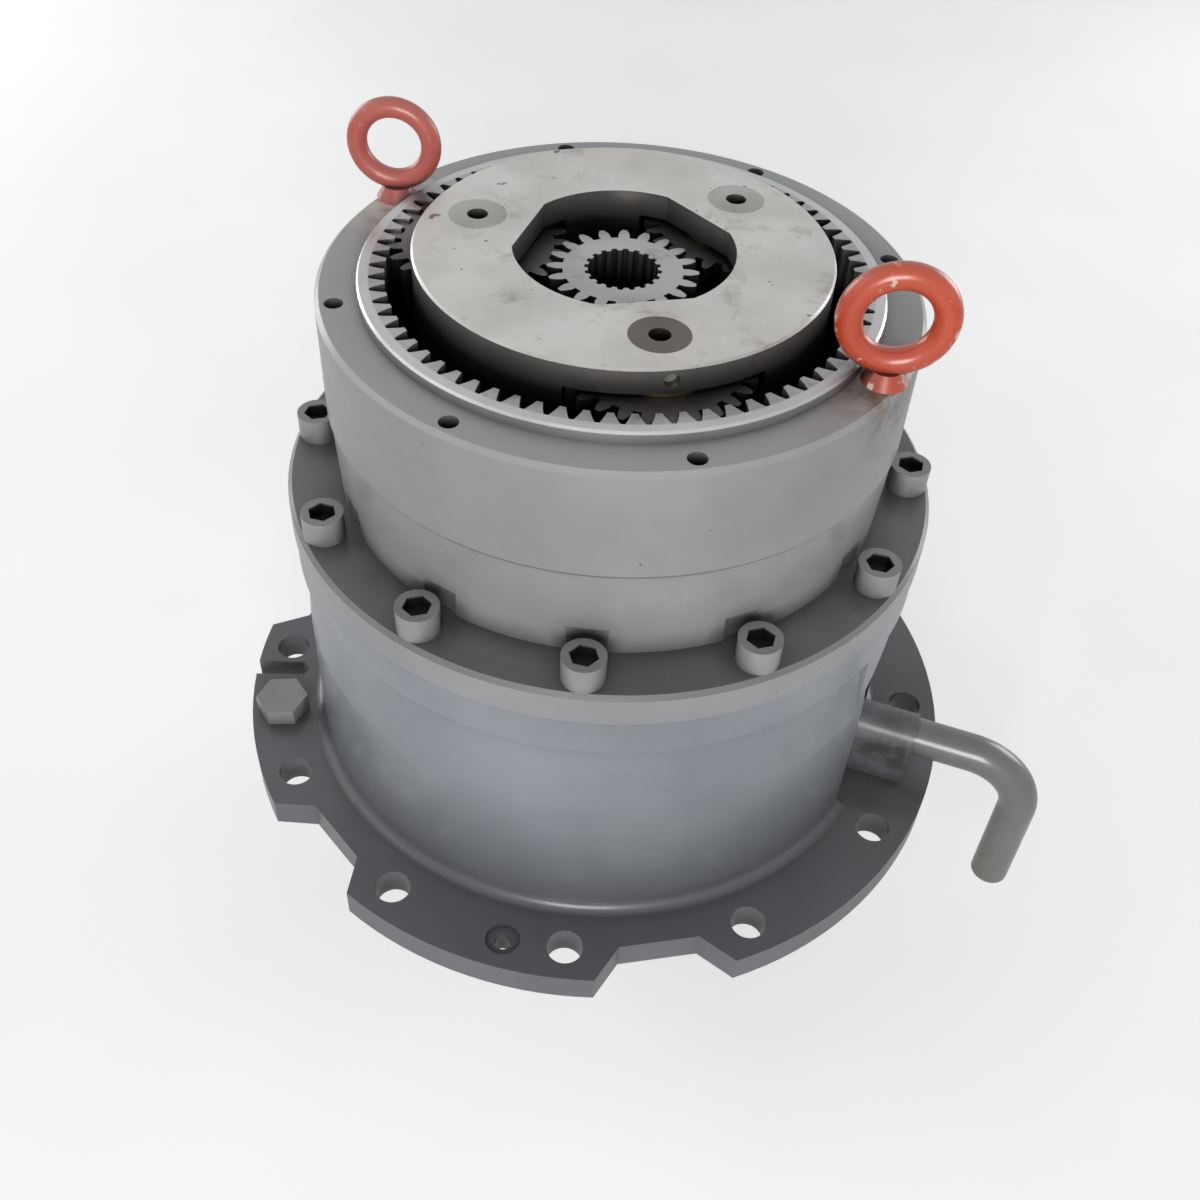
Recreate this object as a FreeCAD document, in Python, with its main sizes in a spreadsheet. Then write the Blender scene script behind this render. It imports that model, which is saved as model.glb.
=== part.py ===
import FreeCAD, Part
import math
import os
import re
import Sketcher

# Swing gearbox of an excavator, motor side up, swing motor taken off.
# Millimetres. The origin is on the gear axis at the frame flange's mounting face.

os.makedirs("parts", exist_ok=True)
doc = FreeCAD.newDocument("swing_gearbox")
sheet = doc.addObject("Spreadsheet::Sheet", "Sizes")

SIZES = {
    # gears
    "gear_module": 3.75,
    "ring_teeth": 70,
    "input_sun_teeth": 20,
    "output_sun_teeth": 18,
    "pinion_module": 10,
    "pinion_teeth": 13,
    "tooth_thinning": 0.2,
    "first_planet_count": 3,
    "second_planet_count": 4,
    "first_planet_angle": 46,
    # gear case
    "case_height": 197.4,
    "flange_thickness": 20,
    "flange_edge": 21,
    "frame_bolt_land": 28.5,
    "frame_bolt_hole": 11,
    "frame_bolt_count": 12,
    "scallop_inset": 22,
    "flange_notch_width": 12,
    "flange_notch_length": 36,
    "pilot_wall": 22.5,
    "pilot_depth": 35,
    "case_joint_flange": 24.4,
    "case_wall_inset": 2.5,
    "case_neck_inset": 6,
    "case_shoulder_height": 118,
    "case_wall": 14,
    "case_mouth_wall": 8.75,
    "case_mouth_depth": 45,
    "bearing_shoulder": 9,
    "case_floor": 34,
    "bearing_tube_wall": 22,
    "case_foot_fillet": 7,
    "drain_angle": -15,
    "drain_height": 54,
    "drain_boss_radius": 14.5,
    "drain_boss_inset": 18,
    "drain_recess_width": 92,
    "drain_recess_depth": 27.5,
    "drain_recess_top": 158,
    "drain_recess_slope": 98,
    "small_hole_radius": 5.3,
    "small_hole_shift": 2,
    "small_hole_angle": -99.8,
    "spot_face_radius": 10.5,
    "spot_face_depth": 3,
    # ring gear housing
    "joint_flange_edge": 14,
    "joint_flange_thickness": 20.2,
    "housing_edge_wall": 10,
    "housing_foot_inset": 4,
    "casting_line_rise": 77,
    "casting_line_step": 1.2,
    "housing_edge": 2.5,
    "register_wall": 11.25,
    "register_height": 6.5,
    "register_chamfer": 1.2,
    "motor_bolt_land": 12.5,
    "motor_bolt_count": 8,
    "motor_tap_radius": 5.1,
    "motor_tap_depth": 26,
    "motor_bolt_angle": 17.3,
    # joint of the two castings
    "joint_bolt_land": 14,
    "joint_bolt_count": 12,
    "joint_bolt_radius": 8,
    "joint_head_radius": 12,
    "joint_head_height": 16,
    "joint_socket_width": 14,
    "joint_socket_depth": 8,
    "joint_thread_length": 20,
    "joint_hole_gap": 0.5,
    "thread_gap": 0.1,
    "relief_gap": 9,
    "relief_height": 17.6,
    "dowel_radius": 6,
    "dowel_length": 30,
    "seal_ring_section": 4,
    "seal_ring_land": 16,
    # eye bolts, drain pipe and flange bolt
    "rear_eye_radius": 27,
    "rear_eye_bore": 15.5,
    "front_eye_radius": 30.7,
    "front_eye_bore": 16.8,
    "collar_gap": 0.5,
    "collar_height": 7,
    "collar_top_share": 0.62,
    "eye_sink": 2,
    "eye_shank_length": 20,
    "pipe_radius": 12.5,
    "pipe_bore": 9.5,
    "pipe_bend_radius": 40,
    "pipe_overhang": 59,
    "pipe_drop": 112,
    "pipe_insert": 16,
    "hex_bolt_angle": -165,
    "hex_bolt_width": 30,
    "hex_head_height": 12.5,
    "hex_bolt_radius": 10,
    # first stage
    "plate_rise": 0.5,
    "first_plate_thickness": 14.3,
    "first_plate_inset": 18.25,
    "first_lower_plate": 14,
    "window_radius": 60,
    "window_flat": 54.7,
    "first_planet_width": 38,
    "first_pin_radius": 16,
    "first_bush_radius": 20,
    "pin_oil_hole": 5.75,
    "pin_oil_depth": 25,
    "lock_hole_radius": 4,
    "lock_pin_length": 11,
    "lock_pin_recess": 5,
    "washer_thickness": 2,
    "washer_radius": 29,
    "sun_rise": 0.8,
    "sun_width": 38,
    "thrust_plate_thickness": 4.2,
    "thrust_plate_bore": 12,
    # second stage
    "carrier_gap": 2.4,
    "thrust_ring_thickness": 2,
    "thrust_ring_width": 22,
    "second_plate_thickness": 12,
    "second_plate_inset": 13.25,
    "second_lower_plate": 15,
    "second_planet_width": 60,
    "second_pin_radius": 18,
    "second_bush_radius": 22,
    "second_window_radius": 46,
    "second_sun_bore": 15,
    "hub_wall": 26,
    # output shaft and bearings
    "spline_step": 5,
    "end_plate_rim": 12,
    "end_plate_thickness": 7,
    "end_screw_circle": 24,
    "end_screw_radius": 5,
    "end_screw_length": 20,
    "nut_rim": 16,
    "nut_thickness": 16,
    "nut_thread_step": 2.5,
    "upper_journal": 47.5,
    "upper_bearing_radius": 85,
    "upper_bearing_width": 43,
    "upper_bearing_drop": 75.4,
    "upper_roller_radius": 7,
    "lower_journal": 60,
    "lower_bearing_radius": 107.5,
    "lower_bearing_width": 58,
    "lower_bearing_height": -15,
    "lower_roller_radius": 9,
    "roller_tilt": 14,
    "roller_count": 14,
    "roller_share": 0.66,
    "cage_thickness": 2.5,
    "waist_step": 8.5,
    "shoulder_step": 8,
    "sleeve_wall": 7.5,
    "seal_section": 12.5,
    "seal_width": 12,
    "cover_thickness": 10,
    "cover_spigot": 8,
    "cover_inset": 4,
    "cover_screw_land": 10,
    "cover_screw_count": 8,
    "cover_screw_radius": 4,
    "cover_head_width": 13,
    "cover_head_height": 5,
    "pinion_top": -58,
    "pinion_width": 92,
    # fits
    "running_gap": 0.05,
    "fixed_gap": 0.02,
    "face_gap": 0.3,
    "tip_gap": 3,
    "plate_gap": 0.8,
}

# Sizes that follow from the driving ones, chained outwards from the ring gear and the bearings
DERIVED = {
    "ring_pitch_radius": "gear_module * ring_teeth / 2",
    "first_circle": "gear_module * (ring_teeth + input_sun_teeth) / 4",
    "first_planet_tip": "gear_module * ((ring_teeth - input_sun_teeth) / 4 + 1)",
    "second_planet_tip": "gear_module * ((ring_teeth - output_sun_teeth) / 4 + 1)",
    "register_radius": "ring_pitch_radius + register_wall",
    "motor_bolt_circle": "register_radius + motor_bolt_land",
    "collar_radius": "motor_bolt_land - collar_gap",
    "housing_radius": "motor_bolt_circle + housing_edge_wall",
    "housing_foot_radius": "housing_radius - housing_foot_inset",
    "joint_bolt_circle": "housing_radius + joint_bolt_land",
    "joint_flange_radius": "joint_bolt_circle + joint_flange_edge",
    "relief_radius": "joint_head_radius + relief_gap",
    "case_mouth_radius": "ring_pitch_radius + case_mouth_wall",
    "seal_ring_radius": "case_mouth_radius + seal_ring_land",
    "case_wall_radius": "joint_flange_radius - case_wall_inset",
    "case_neck_radius": "joint_flange_radius - case_neck_inset",
    "frame_bolt_circle": "case_wall_radius + frame_bolt_land",
    "flange_radius": "frame_bolt_circle + flange_edge",
    "scallop_floor": "flange_radius - scallop_inset",
    "notch_floor": "flange_radius - flange_notch_length",
    "drain_boss_end": "flange_radius - drain_boss_inset",
    "drain_recess_floor": "case_wall_radius - drain_recess_depth",
    "pipe_reach": "flange_radius + pipe_overhang",
    "first_plate_radius": "ring_pitch_radius - first_plate_inset",
    "second_plate_radius": "ring_pitch_radius - second_plate_inset",
    "thrust_plate_radius": "first_circle - first_planet_tip - plate_gap",
    "thrust_ring_bore": "second_window_radius + 4",
    "thrust_ring_radius": "thrust_ring_bore + thrust_ring_width",
    "pilot_radius": "lower_bearing_radius + pilot_wall",
    "cover_radius": "pilot_radius - cover_inset",
    "cover_screw_circle": "lower_bearing_radius + cover_screw_land",
    "sleeve_radius": "lower_journal + sleeve_wall",
    "seal_radius": "sleeve_radius + seal_section",
    "shaft_shoulder": "lower_journal + shoulder_step",
    "shaft_waist": "upper_journal + waist_step",
    "nut_thread_radius": "upper_journal - nut_thread_step",
    "nut_radius": "nut_thread_radius + nut_rim",
    "spline_radius": "nut_thread_radius - spline_step",
    "end_plate_radius": "spline_radius + end_plate_rim",
    "hub_radius": "spline_radius + hub_wall",
}

for row, (name, value) in enumerate(SIZES.items(), start=1):
    sheet.set(f"A{row}", name)
    sheet.set(f"B{row}", str(value))
    sheet.setAlias(f"B{row}", name)
doc.recompute()

PRESSURE_ANGLE = math.radians(20)


def bound(text):
    """An expression in the names of the sizes, written with the sheet's own name."""
    return re.sub(r"[a-z][a-z_]+", lambda word: name_in_sheet(word.group(0)), text)


def name_in_sheet(word):
    if word in DERIVED:
        return f"({bound(DERIVED[word])})"
    return f"Sizes.{word}" if word in SIZES else word


def number(text):
    return float(sheet.evalExpression(bound(text)))


# Heights that several pieces share, as expressions of the sizes
JOINT = "case_height"
JOINT_FLANGE_TOP = f"({JOINT} + joint_flange_thickness)"
SECOND_BOTTOM = JOINT
SECOND_GAP_FLOOR = f"({SECOND_BOTTOM} + second_lower_plate)"
SECOND_GAP_TOP = f"({SECOND_GAP_FLOOR} + second_planet_width + 2 * washer_thickness + 2 * face_gap)"
SECOND_TOP = f"({SECOND_GAP_TOP} + second_plate_thickness)"
FIRST_BOTTOM = f"({SECOND_TOP} + carrier_gap)"
FIRST_GAP_FLOOR = f"({FIRST_BOTTOM} + first_lower_plate)"
FIRST_GAP_TOP = f"({FIRST_GAP_FLOOR} + first_planet_width + 2 * washer_thickness + 2 * face_gap)"
FIRST_TOP = f"({FIRST_GAP_TOP} + first_plate_thickness)"
HOUSING_TOP = f"({FIRST_GAP_TOP} - plate_rise)"
HOUSING_FACE = f"({HOUSING_TOP} - register_height)"
END_PLATE_SEAT = f"({SECOND_GAP_FLOOR} - end_plate_thickness)"
UPPER_LOW = f"({JOINT} - upper_bearing_drop)"
UPPER_TOP = f"({UPPER_LOW} + upper_bearing_width)"
LOWER_LOW = "lower_bearing_height"
LOWER_TOP = f"({LOWER_LOW} + lower_bearing_width)"
NUT_TOP = f"({UPPER_TOP} + nut_thickness)"
COVER_BOTTOM = "(-pilot_depth - cover_thickness)"
SLEEVE_BOTTOM = f"({COVER_BOTTOM} - 5)"

module = number("gear_module")
ring_teeth = int(number("ring_teeth"))
input_sun_teeth = int(number("input_sun_teeth"))
output_sun_teeth = int(number("output_sun_teeth"))
first_planet_teeth = (ring_teeth - input_sun_teeth) // 2
second_planet_teeth = (ring_teeth - output_sun_teeth) // 2
first_circle = module * (input_sun_teeth + first_planet_teeth) / 2
second_circle = module * (output_sun_teeth + second_planet_teeth) / 2


def planet_angles(start, count, sun_teeth):
    """Angles at which a planet fits both the sun and the ring, as evenly spaced as they can be."""
    step = 360 / (sun_teeth + ring_teeth)
    places = [round(k * (sun_teeth + ring_teeth) / count) for k in range(count)]
    return [start + place * step for place in places]


first_angles = planet_angles(
    number("first_planet_angle"), int(number("first_planet_count")), input_sun_teeth
)
second_angles = planet_angles(0, int(number("second_planet_count")), output_sun_teeth)


def at_angle(radius, angle):
    """The x and y expressions of a point at a radius and an angle in degrees."""
    return f"({radius}) * cos({angle})", f"({radius}) * sin({angle})"


# Bodies and sketches


def new_body(label):
    body = doc.addObject("PartDesign::Body", label)
    body.Label = label
    body.AllowCompound = True
    return body


def origin_of(body, role):
    return next(item for item in body.Origin.OriginFeatures if item.Role == role)


def new_sketch(body, role, name, offset="0", turn="0"):
    """A sketch on an origin plane, turned about Z if it is upright, then moved along its normal."""
    sketch = body.newObject("Sketcher::SketchObject", name)
    sketch.AttachmentSupport = [(origin_of(body, role), "")]
    sketch.MapMode = "FlatFace"
    spin = FreeCAD.Rotation(FreeCAD.Vector(0, 1, 0), number(turn))
    shift = spin.multVec(FreeCAD.Vector(0, 0, number(offset)))
    sketch.AttachmentOffset = FreeCAD.Placement(shift, spin)
    if offset != "0":
        sketch.setExpression("AttachmentOffset.Base.x", bound(f"({offset}) * sin({turn})"))
        sketch.setExpression("AttachmentOffset.Base.z", bound(f"({offset}) * cos({turn})"))
    return sketch


def pin_point(sketch, item, end, x, y):
    """Hold one point of a sketch at two expressions."""
    for kind, text in (("DistanceX", x), ("DistanceY", y)):
        index = sketch.addConstraint(Sketcher.Constraint(kind, -1, 1, item, end, number(text)))
        sketch.setExpression(f"Constraints[{index}]", bound(text))


def outline(sketch, corners):
    """A closed outline of straight lines through corners given as two expressions each."""
    points = [FreeCAD.Vector(number(x), number(y), 0) for x, y in corners]
    count = len(points)
    for k in range(count):
        sketch.addGeometry(Part.LineSegment(points[k], points[(k + 1) % count]))
    for k in range(count):
        sketch.addConstraint(Sketcher.Constraint("Coincident", k, 2, (k + 1) % count, 1))
    for k, (x, y) in enumerate(corners):
        pin_point(sketch, k, 1, x, y)


def circles(sketch, centres, radius):
    for x, y in centres:
        centre = FreeCAD.Vector(number(x), number(y), 0)
        item = sketch.addGeometry(Part.Circle(centre, FreeCAD.Vector(0, 0, 1), number(radius)))
        pin_point(sketch, item, 3, x, y)
        index = sketch.addConstraint(Sketcher.Constraint("Radius", item, number(radius)))
        sketch.setExpression(f"Constraints[{index}]", bound(radius))


def revolve(body, name, corners, kind="PartDesign::Revolution"):
    """Turn an outline of (radius, height) corners about Z, to add or, as a groove, to cut."""
    sketch = new_sketch(body, "XZ_Plane", f"{name}_outline")
    outline(sketch, corners)
    turn = body.newObject(kind, name)
    turn.Profile = sketch
    turn.ReferenceAxis = (sketch, ["V_Axis"])
    turn.Angle = 360
    return turn


def turned(label, corners):
    body = new_body(label)
    revolve(body, f"{label}_turn", corners)
    return body


def cut_down(body, name, sketch, depth):
    """Cut a flat sketch straight down to a depth."""
    pocket = body.newObject("PartDesign::Pocket", name)
    pocket.Profile = sketch
    pocket.Length = number(depth)
    pocket.setExpression("Length", bound(depth))
    return pocket


def drill(body, name, centres, radius, top, depth):
    """Round holes along Z from a height downwards."""
    sketch = new_sketch(body, "XY_Plane", f"{name}_circles", top)
    circles(sketch, centres, radius)
    return cut_down(body, name, sketch, depth)


def drill_ring(body, name, circle, angle, count, radius, top, depth):
    """Round holes along Z, evenly spaced on a circle about the axis."""
    hole = drill(body, f"{name}_first", [at_angle(circle, angle)], radius, top, depth)
    return repeat_round(body, name, hole, count)


def repeat_round(body, name, feature, count, sweep="360"):
    pattern = body.newObject("PartDesign::PolarPattern", name)
    pattern.Originals = [feature]
    pattern.Axis = (origin_of(body, "Z_Axis"), [""])
    pattern.Angle = number(sweep)
    pattern.Occurrences = int(number(count))
    pattern.setExpression("Occurrences", bound(count))
    body.Tip = pattern
    return pattern


def round_edges(body, name, spots, radius, kind="PartDesign::Fillet"):
    """Round, or chamfer, the full circular edges at the given radii and heights."""
    doc.recompute()
    shape = body.Tip.Shape
    found = []
    for index, edge in enumerate(shape.Edges, start=1):
        if not isinstance(edge.Curve, Part.Circle):
            continue
        for spot_radius, spot_height in spots:
            at_height = abs(edge.Curve.Center.z - number(spot_height)) < 0.01
            if at_height and abs(edge.Curve.Radius - number(spot_radius)) < 0.01:
                found.append(f"Edge{index}")
    base = body.Tip
    dress = body.newObject(kind, name)
    dress.Base = (base, found)
    size = "Radius" if kind == "PartDesign::Fillet" else "Size"
    setattr(dress, size, number(radius))
    dress.setExpression(size, bound(radius))
    return dress


# Gear outlines


def involute(angle):
    return math.tan(angle) - angle


def tooth_half_angle(teeth, pitch_radius, radius, thinning):
    """Half the angle that a tooth spans at a radius, with its thickness thinned at the pitch line."""
    base = pitch_radius * math.cos(PRESSURE_ANGLE)
    pressure = math.acos(min(1.0, base / radius))
    at_pitch = math.pi / (2 * teeth) - thinning / (2 * pitch_radius)
    return at_pitch + involute(PRESSURE_ANGLE) - involute(pressure)


def polar(radius, angle):
    return FreeCAD.Vector(radius * math.cos(angle), radius * math.sin(angle), 0)


def gear_face(teeth, gear_module, start, thinning, inside=False, depths=(1.0, 1.25)):
    """A flat face with involute teeth, the first centred at start. For a ring it is the hole."""
    pitch_radius = gear_module * teeth / 2
    addendum, dedendum = reversed(depths) if inside else depths
    tip = pitch_radius + addendum * gear_module
    root = pitch_radius - dedendum * gear_module
    foot = max(root, pitch_radius * math.cos(PRESSURE_ANGLE))
    middle = (foot + tip) / 2
    slack = -thinning if inside else thinning
    spans = [tooth_half_angle(teeth, pitch_radius, radius, slack) for radius in (foot, middle, tip)]
    edges = []
    for tooth in range(teeth):
        centre = start + 2 * math.pi * tooth / teeth
        turn_to_next = 2 * math.pi / teeth
        rise = [polar(r, centre - span) for r, span in zip((foot, middle, tip), spans)]
        fall = [polar(r, centre + span) for r, span in zip((foot, middle, tip), spans)]
        edges.append(Part.Arc(rise[0], rise[1], rise[2]).toShape())
        edges.append(Part.makeLine(rise[2], fall[2]))
        edges.append(Part.Arc(fall[2], fall[1], fall[0]).toShape())
        stops = [fall[0]]
        if foot > root:
            stops.append(polar(root, centre + spans[0]))
            stops.append(polar(root, centre + turn_to_next - spans[0]))
        stops.append(polar(foot, centre + turn_to_next - spans[0]))
        edges += [Part.makeLine(a, b) for a, b in zip(stops, stops[1:])]
    return Part.Face(Part.Wire(edges))


def prism(label, face, bottom, height, x=0, y=0):
    """A gear face as an object of the document, extruded along Z from a height."""
    flat = doc.addObject("Part::Feature", f"{label}_face")
    flat.Shape = face
    flat.Placement = FreeCAD.Placement(FreeCAD.Vector(x, y, number(bottom)), FreeCAD.Rotation())
    solid = doc.addObject("Part::Extrusion", label)
    solid.Base = flat
    solid.DirMode = "Custom"
    solid.Dir = FreeCAD.Vector(0, 0, 1)
    solid.Solid = True
    solid.LengthFwd = number(height)
    solid.setExpression("LengthFwd", bound(height))
    return solid


def cylinder(label, radius, bottom, height, x=0, y=0):
    item = doc.addObject("Part::Cylinder", label)
    item.setExpression("Radius", bound(radius))
    item.setExpression("Height", bound(height))
    item.Placement.Base = FreeCAD.Vector(x, y, number(bottom))
    return item


def cut(label, base, tool):
    item = doc.addObject("Part::Cut", label)
    item.Label = label
    item.Base = base
    item.Tool = tool
    return item


sub_parts = []


def keep(item, label=None):
    """Put an object on the list of sub-parts under its own name."""
    if label:
        item.Label = label
    sub_parts.append(item)
    return item


def raise_up(body, name, sketch, height):
    """Add material from a sketch along its normal."""
    pad = body.newObject("PartDesign::Pad", name)
    pad.Profile = sketch
    pad.Length = number(height)
    pad.setExpression("Length", bound(height))
    return pad


def add_discs(body, name, centres, radius, bottom, height, bore=None):
    """Round discs, or rings where a bore is given, standing on a height."""
    sketch = new_sketch(body, "XY_Plane", f"{name}_circles", bottom)
    circles(sketch, centres, radius)
    if bore:
        circles(sketch, centres, bore)
    return raise_up(body, name, sketch, height)


def radial_hole(body, name, angle, height, radius, start, depth):
    """A round hole drilled towards the axis from a radius."""
    sketch = new_sketch(body, "YZ_Plane", f"{name}_circle", start, angle)
    circles(sketch, [("0", height)], radius)
    return cut_down(body, name, sketch, depth)


def across_flats(width, x, y, turn="0"):
    """The six corners of a hexagon of a given width across its flats."""
    return [
        (
            f"{x} + ({width}) / sqrt(3) * cos({turn} + {60 * k})",
            f"{y} + ({width}) / sqrt(3) * sin({turn} + {60 * k})",
        )
        for k in range(6)
    ]


# Gear case: turned casting with a core, frame flange, pilot and bearing tube


def gear_case():
    body = new_body("gear_case")
    revolve(
        body,
        "case_outside",
        [
            ("0", "-pilot_depth"),
            ("pilot_radius", "-pilot_depth"),
            ("pilot_radius", "0"),
            ("flange_radius", "0"),
            ("flange_radius", "flange_thickness"),
            ("case_wall_radius", "flange_thickness"),
            ("case_wall_radius", "case_shoulder_height"),
            ("case_neck_radius", f"{JOINT} - case_joint_flange - 7"),
            ("case_neck_radius", f"{JOINT} - case_joint_flange - 3"),
            ("joint_flange_radius - 1", f"{JOINT} - case_joint_flange"),
            ("joint_flange_radius - 1", JOINT),
            ("0", JOINT),
        ],
    )
    round_edges(body, "case_foot", [("case_wall_radius", "flange_thickness")], "case_foot_fillet")
    tube_inside = "lower_bearing_radius - bearing_shoulder"
    lower_tube = "lower_bearing_radius + bearing_tube_wall"
    upper_tube = "upper_bearing_radius + bearing_tube_wall"
    revolve(
        body,
        "case_core",
        [
            ("0", f"{JOINT} + 1"),
            ("case_mouth_radius", f"{JOINT} + 1"),
            ("case_mouth_radius", f"{JOINT} - case_mouth_depth"),
            ("case_wall_radius - case_wall", f"{JOINT} - case_mouth_depth - 20"),
            ("case_wall_radius - case_wall", "case_floor"),
            (lower_tube, "case_floor"),
            (lower_tube, f"{LOWER_TOP} + bearing_shoulder"),
            (upper_tube, f"{LOWER_TOP} + bearing_shoulder + 30"),
            (upper_tube, f"{UPPER_TOP} + 2"),
            ("upper_bearing_radius", f"{UPPER_TOP} + 2"),
            ("upper_bearing_radius", UPPER_LOW),
            ("upper_bearing_radius - bearing_shoulder", UPPER_LOW),
            ("upper_bearing_radius - bearing_shoulder", f"{UPPER_LOW} - 2 * bearing_shoulder"),
            (tube_inside, f"{LOWER_TOP} + bearing_shoulder"),
            (tube_inside, LOWER_TOP),
            ("lower_bearing_radius", LOWER_TOP),
            ("lower_bearing_radius", "-pilot_depth - 1"),
            ("0", "-pilot_depth - 1"),
        ],
        "PartDesign::Groove",
    )
    drain_boss(body)
    flange_cuts(body)
    hole = "joint_bolt_radius + thread_gap"
    drill_ring(
        body, "joint_threads", "joint_bolt_circle", "0", "joint_bolt_count", hole, JOINT,
        "joint_thread_length + 3",
    )
    drill_ring(
        body, "case_dowel_holes", "joint_bolt_circle", "15", "2", "dowel_radius + fixed_gap", JOINT,
        "dowel_length / 2",
    )
    drill_ring(
        body, "cover_threads", "cover_screw_circle", "0", "cover_screw_count",
        "cover_screw_radius + thread_gap", "-pilot_depth + 16", "18",
    )
    revolve(
        body,
        "o_ring_groove",
        [
            ("seal_ring_radius - seal_ring_section / 2 - 0.3", f"{JOINT} + 1"),
            ("seal_ring_radius + seal_ring_section / 2 + 0.3", f"{JOINT} + 1"),
            ("seal_ring_radius + seal_ring_section / 2 + 0.3", f"{JOINT} - seal_ring_section"),
            ("seal_ring_radius - seal_ring_section / 2 - 0.3", f"{JOINT} - seal_ring_section"),
        ],
        "PartDesign::Groove",
    )
    return body


def drain_boss(body):
    """The boss that the drain pipe plugs into, in a recess of the case wall."""
    behind = "drain_recess_floor - 12"
    lining = new_sketch(body, "XZ_Plane", "recess_lining_outline", "0", "drain_angle")
    outline(
        lining,
        [
            (behind, "case_floor - 2"),
            (behind, "drain_recess_top - drain_recess_slope + 4"),
            ("case_wall_radius - case_wall + 2", "drain_recess_top + 12"),
            ("case_wall_radius - 9", "drain_recess_top + 12"),
            ("case_wall_radius - 9", "case_floor - 2"),
        ],
    )
    wall = raise_up(body, "recess_lining", lining, "drain_recess_width + 20")
    wall.Midplane = True
    recess = new_sketch(body, "XZ_Plane", "recess_outline", "0", "drain_angle")
    outline(
        recess,
        [
            ("drain_recess_floor", "flange_thickness"),
            ("drain_recess_floor", "drain_recess_top - drain_recess_slope"),
            ("case_wall_radius + 1", "drain_recess_top"),
            ("case_wall_radius + 12", "drain_recess_top"),
            ("case_wall_radius + 12", "flange_thickness"),
        ],
    )
    pocket = cut_down(body, "recess", recess, "drain_recess_width")
    pocket.Midplane = True
    start = "drain_recess_floor - 2"
    length = f"drain_boss_end - ({start})"
    round_top = new_sketch(body, "YZ_Plane", "boss_circle", start, "drain_angle")
    circles(round_top, [("0", "drain_height")], "drain_boss_radius")
    raise_up(body, "boss", round_top, length)
    web = new_sketch(body, "YZ_Plane", "boss_web_outline", start, "drain_angle")
    outline(
        web,
        [
            ("-drain_boss_radius", "flange_thickness - 1"),
            ("drain_boss_radius", "flange_thickness - 1"),
            ("drain_boss_radius", "drain_height"),
            ("-drain_boss_radius", "drain_height"),
        ],
    )
    raise_up(body, "boss_web", web, length)
    socket = "pipe_radius + fixed_gap"
    radial_hole(
        body, "pipe_socket", "drain_angle", "drain_height", socket, "drain_boss_end", "pipe_insert"
    )
    radial_hole(
        body, "drain_passage", "drain_angle", "drain_height", "pipe_bore", "drain_boss_end",
        f"drain_boss_end - ({behind}) + 2",
    )


def flange_cuts(body):
    """Bolt holes, rim scallops, notch and small holes of the frame flange."""
    through = "flange_thickness"
    drill_ring(
        body, "frame_bolt_holes", "frame_bolt_circle", "0", "frame_bolt_count", "frame_bolt_hole",
        through, through,
    )
    outside = "flange_radius + 10"
    scallop = new_sketch(body, "XY_Plane", "scallop_outline", through)
    outline(
        scallop,
        [
            at_angle(outside, "45 - 11.8"),
            at_angle("scallop_floor", "45 - 6.5"),
            at_angle("scallop_floor", "45 + 6.5"),
            at_angle(outside, "45 + 11.8"),
        ],
    )
    first = cut_down(body, "scallop", scallop, through)
    repeat_round(body, "scallops", first, "5", "240")
    notch_angle = -174.6
    notch = new_sketch(body, "XY_Plane", "notch_outline", through)
    half = "flange_notch_width / 2"
    along = (f"cos({notch_angle})", f"sin({notch_angle})")
    outline(
        notch,
        [
            (f"({r}) * {along[0]} - ({s}) * {along[1]}", f"({r}) * {along[1]} + ({s}) * {along[0]}")
            for r, s in (
                (outside, f"-{half}"),
                (outside, half),
                (f"notch_floor + {half}", half),
                (f"notch_floor + {half}", f"-{half}"),
            )
        ],
    )
    cut_down(body, "notch", notch, through)
    drill(
        body, "notch_end", [at_angle(f"notch_floor + {half}", notch_angle)], half, through,
        through,
    )
    small = [at_angle("frame_bolt_circle + small_hole_shift", "small_hole_angle")]
    drill(body, "small_hole", small, "small_hole_radius", through, through)
    drill(body, "small_hole_face", small, "spot_face_radius", through, "spot_face_depth")
    bolt = [at_angle("frame_bolt_circle", "hex_bolt_angle")]
    drill(body, "hex_bolt_thread", bolt, "hex_bolt_radius + thread_gap", through, through)


keep(gear_case())


# Ring gear housing: turned casting with the ring teeth through its bore


def ring_phase():
    """The angle of a ring gap, from the first planet and the input sun."""
    planet = math.radians(first_angles[0])
    turns = (planet - first_planet_phase(planet)) * first_planet_teeth / ring_teeth
    return planet - turns


SUN_PHASE = math.radians(3.2)


def first_planet_phase(place):
    sun_turn = (place - SUN_PHASE) * input_sun_teeth / (2 * math.pi)
    return place + math.pi - (0.5 - sun_turn) * 2 * math.pi / first_planet_teeth


def second_planet_phase(place):
    turns = (place - ring_phase()) * ring_teeth / second_planet_teeth
    return place - turns


def output_sun_phase():
    place = math.radians(second_angles[0])
    planet_turn = (place + math.pi - second_planet_phase(place)) * second_planet_teeth
    return place - (0.5 - planet_turn / (2 * math.pi)) * 2 * math.pi / output_sun_teeth


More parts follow.
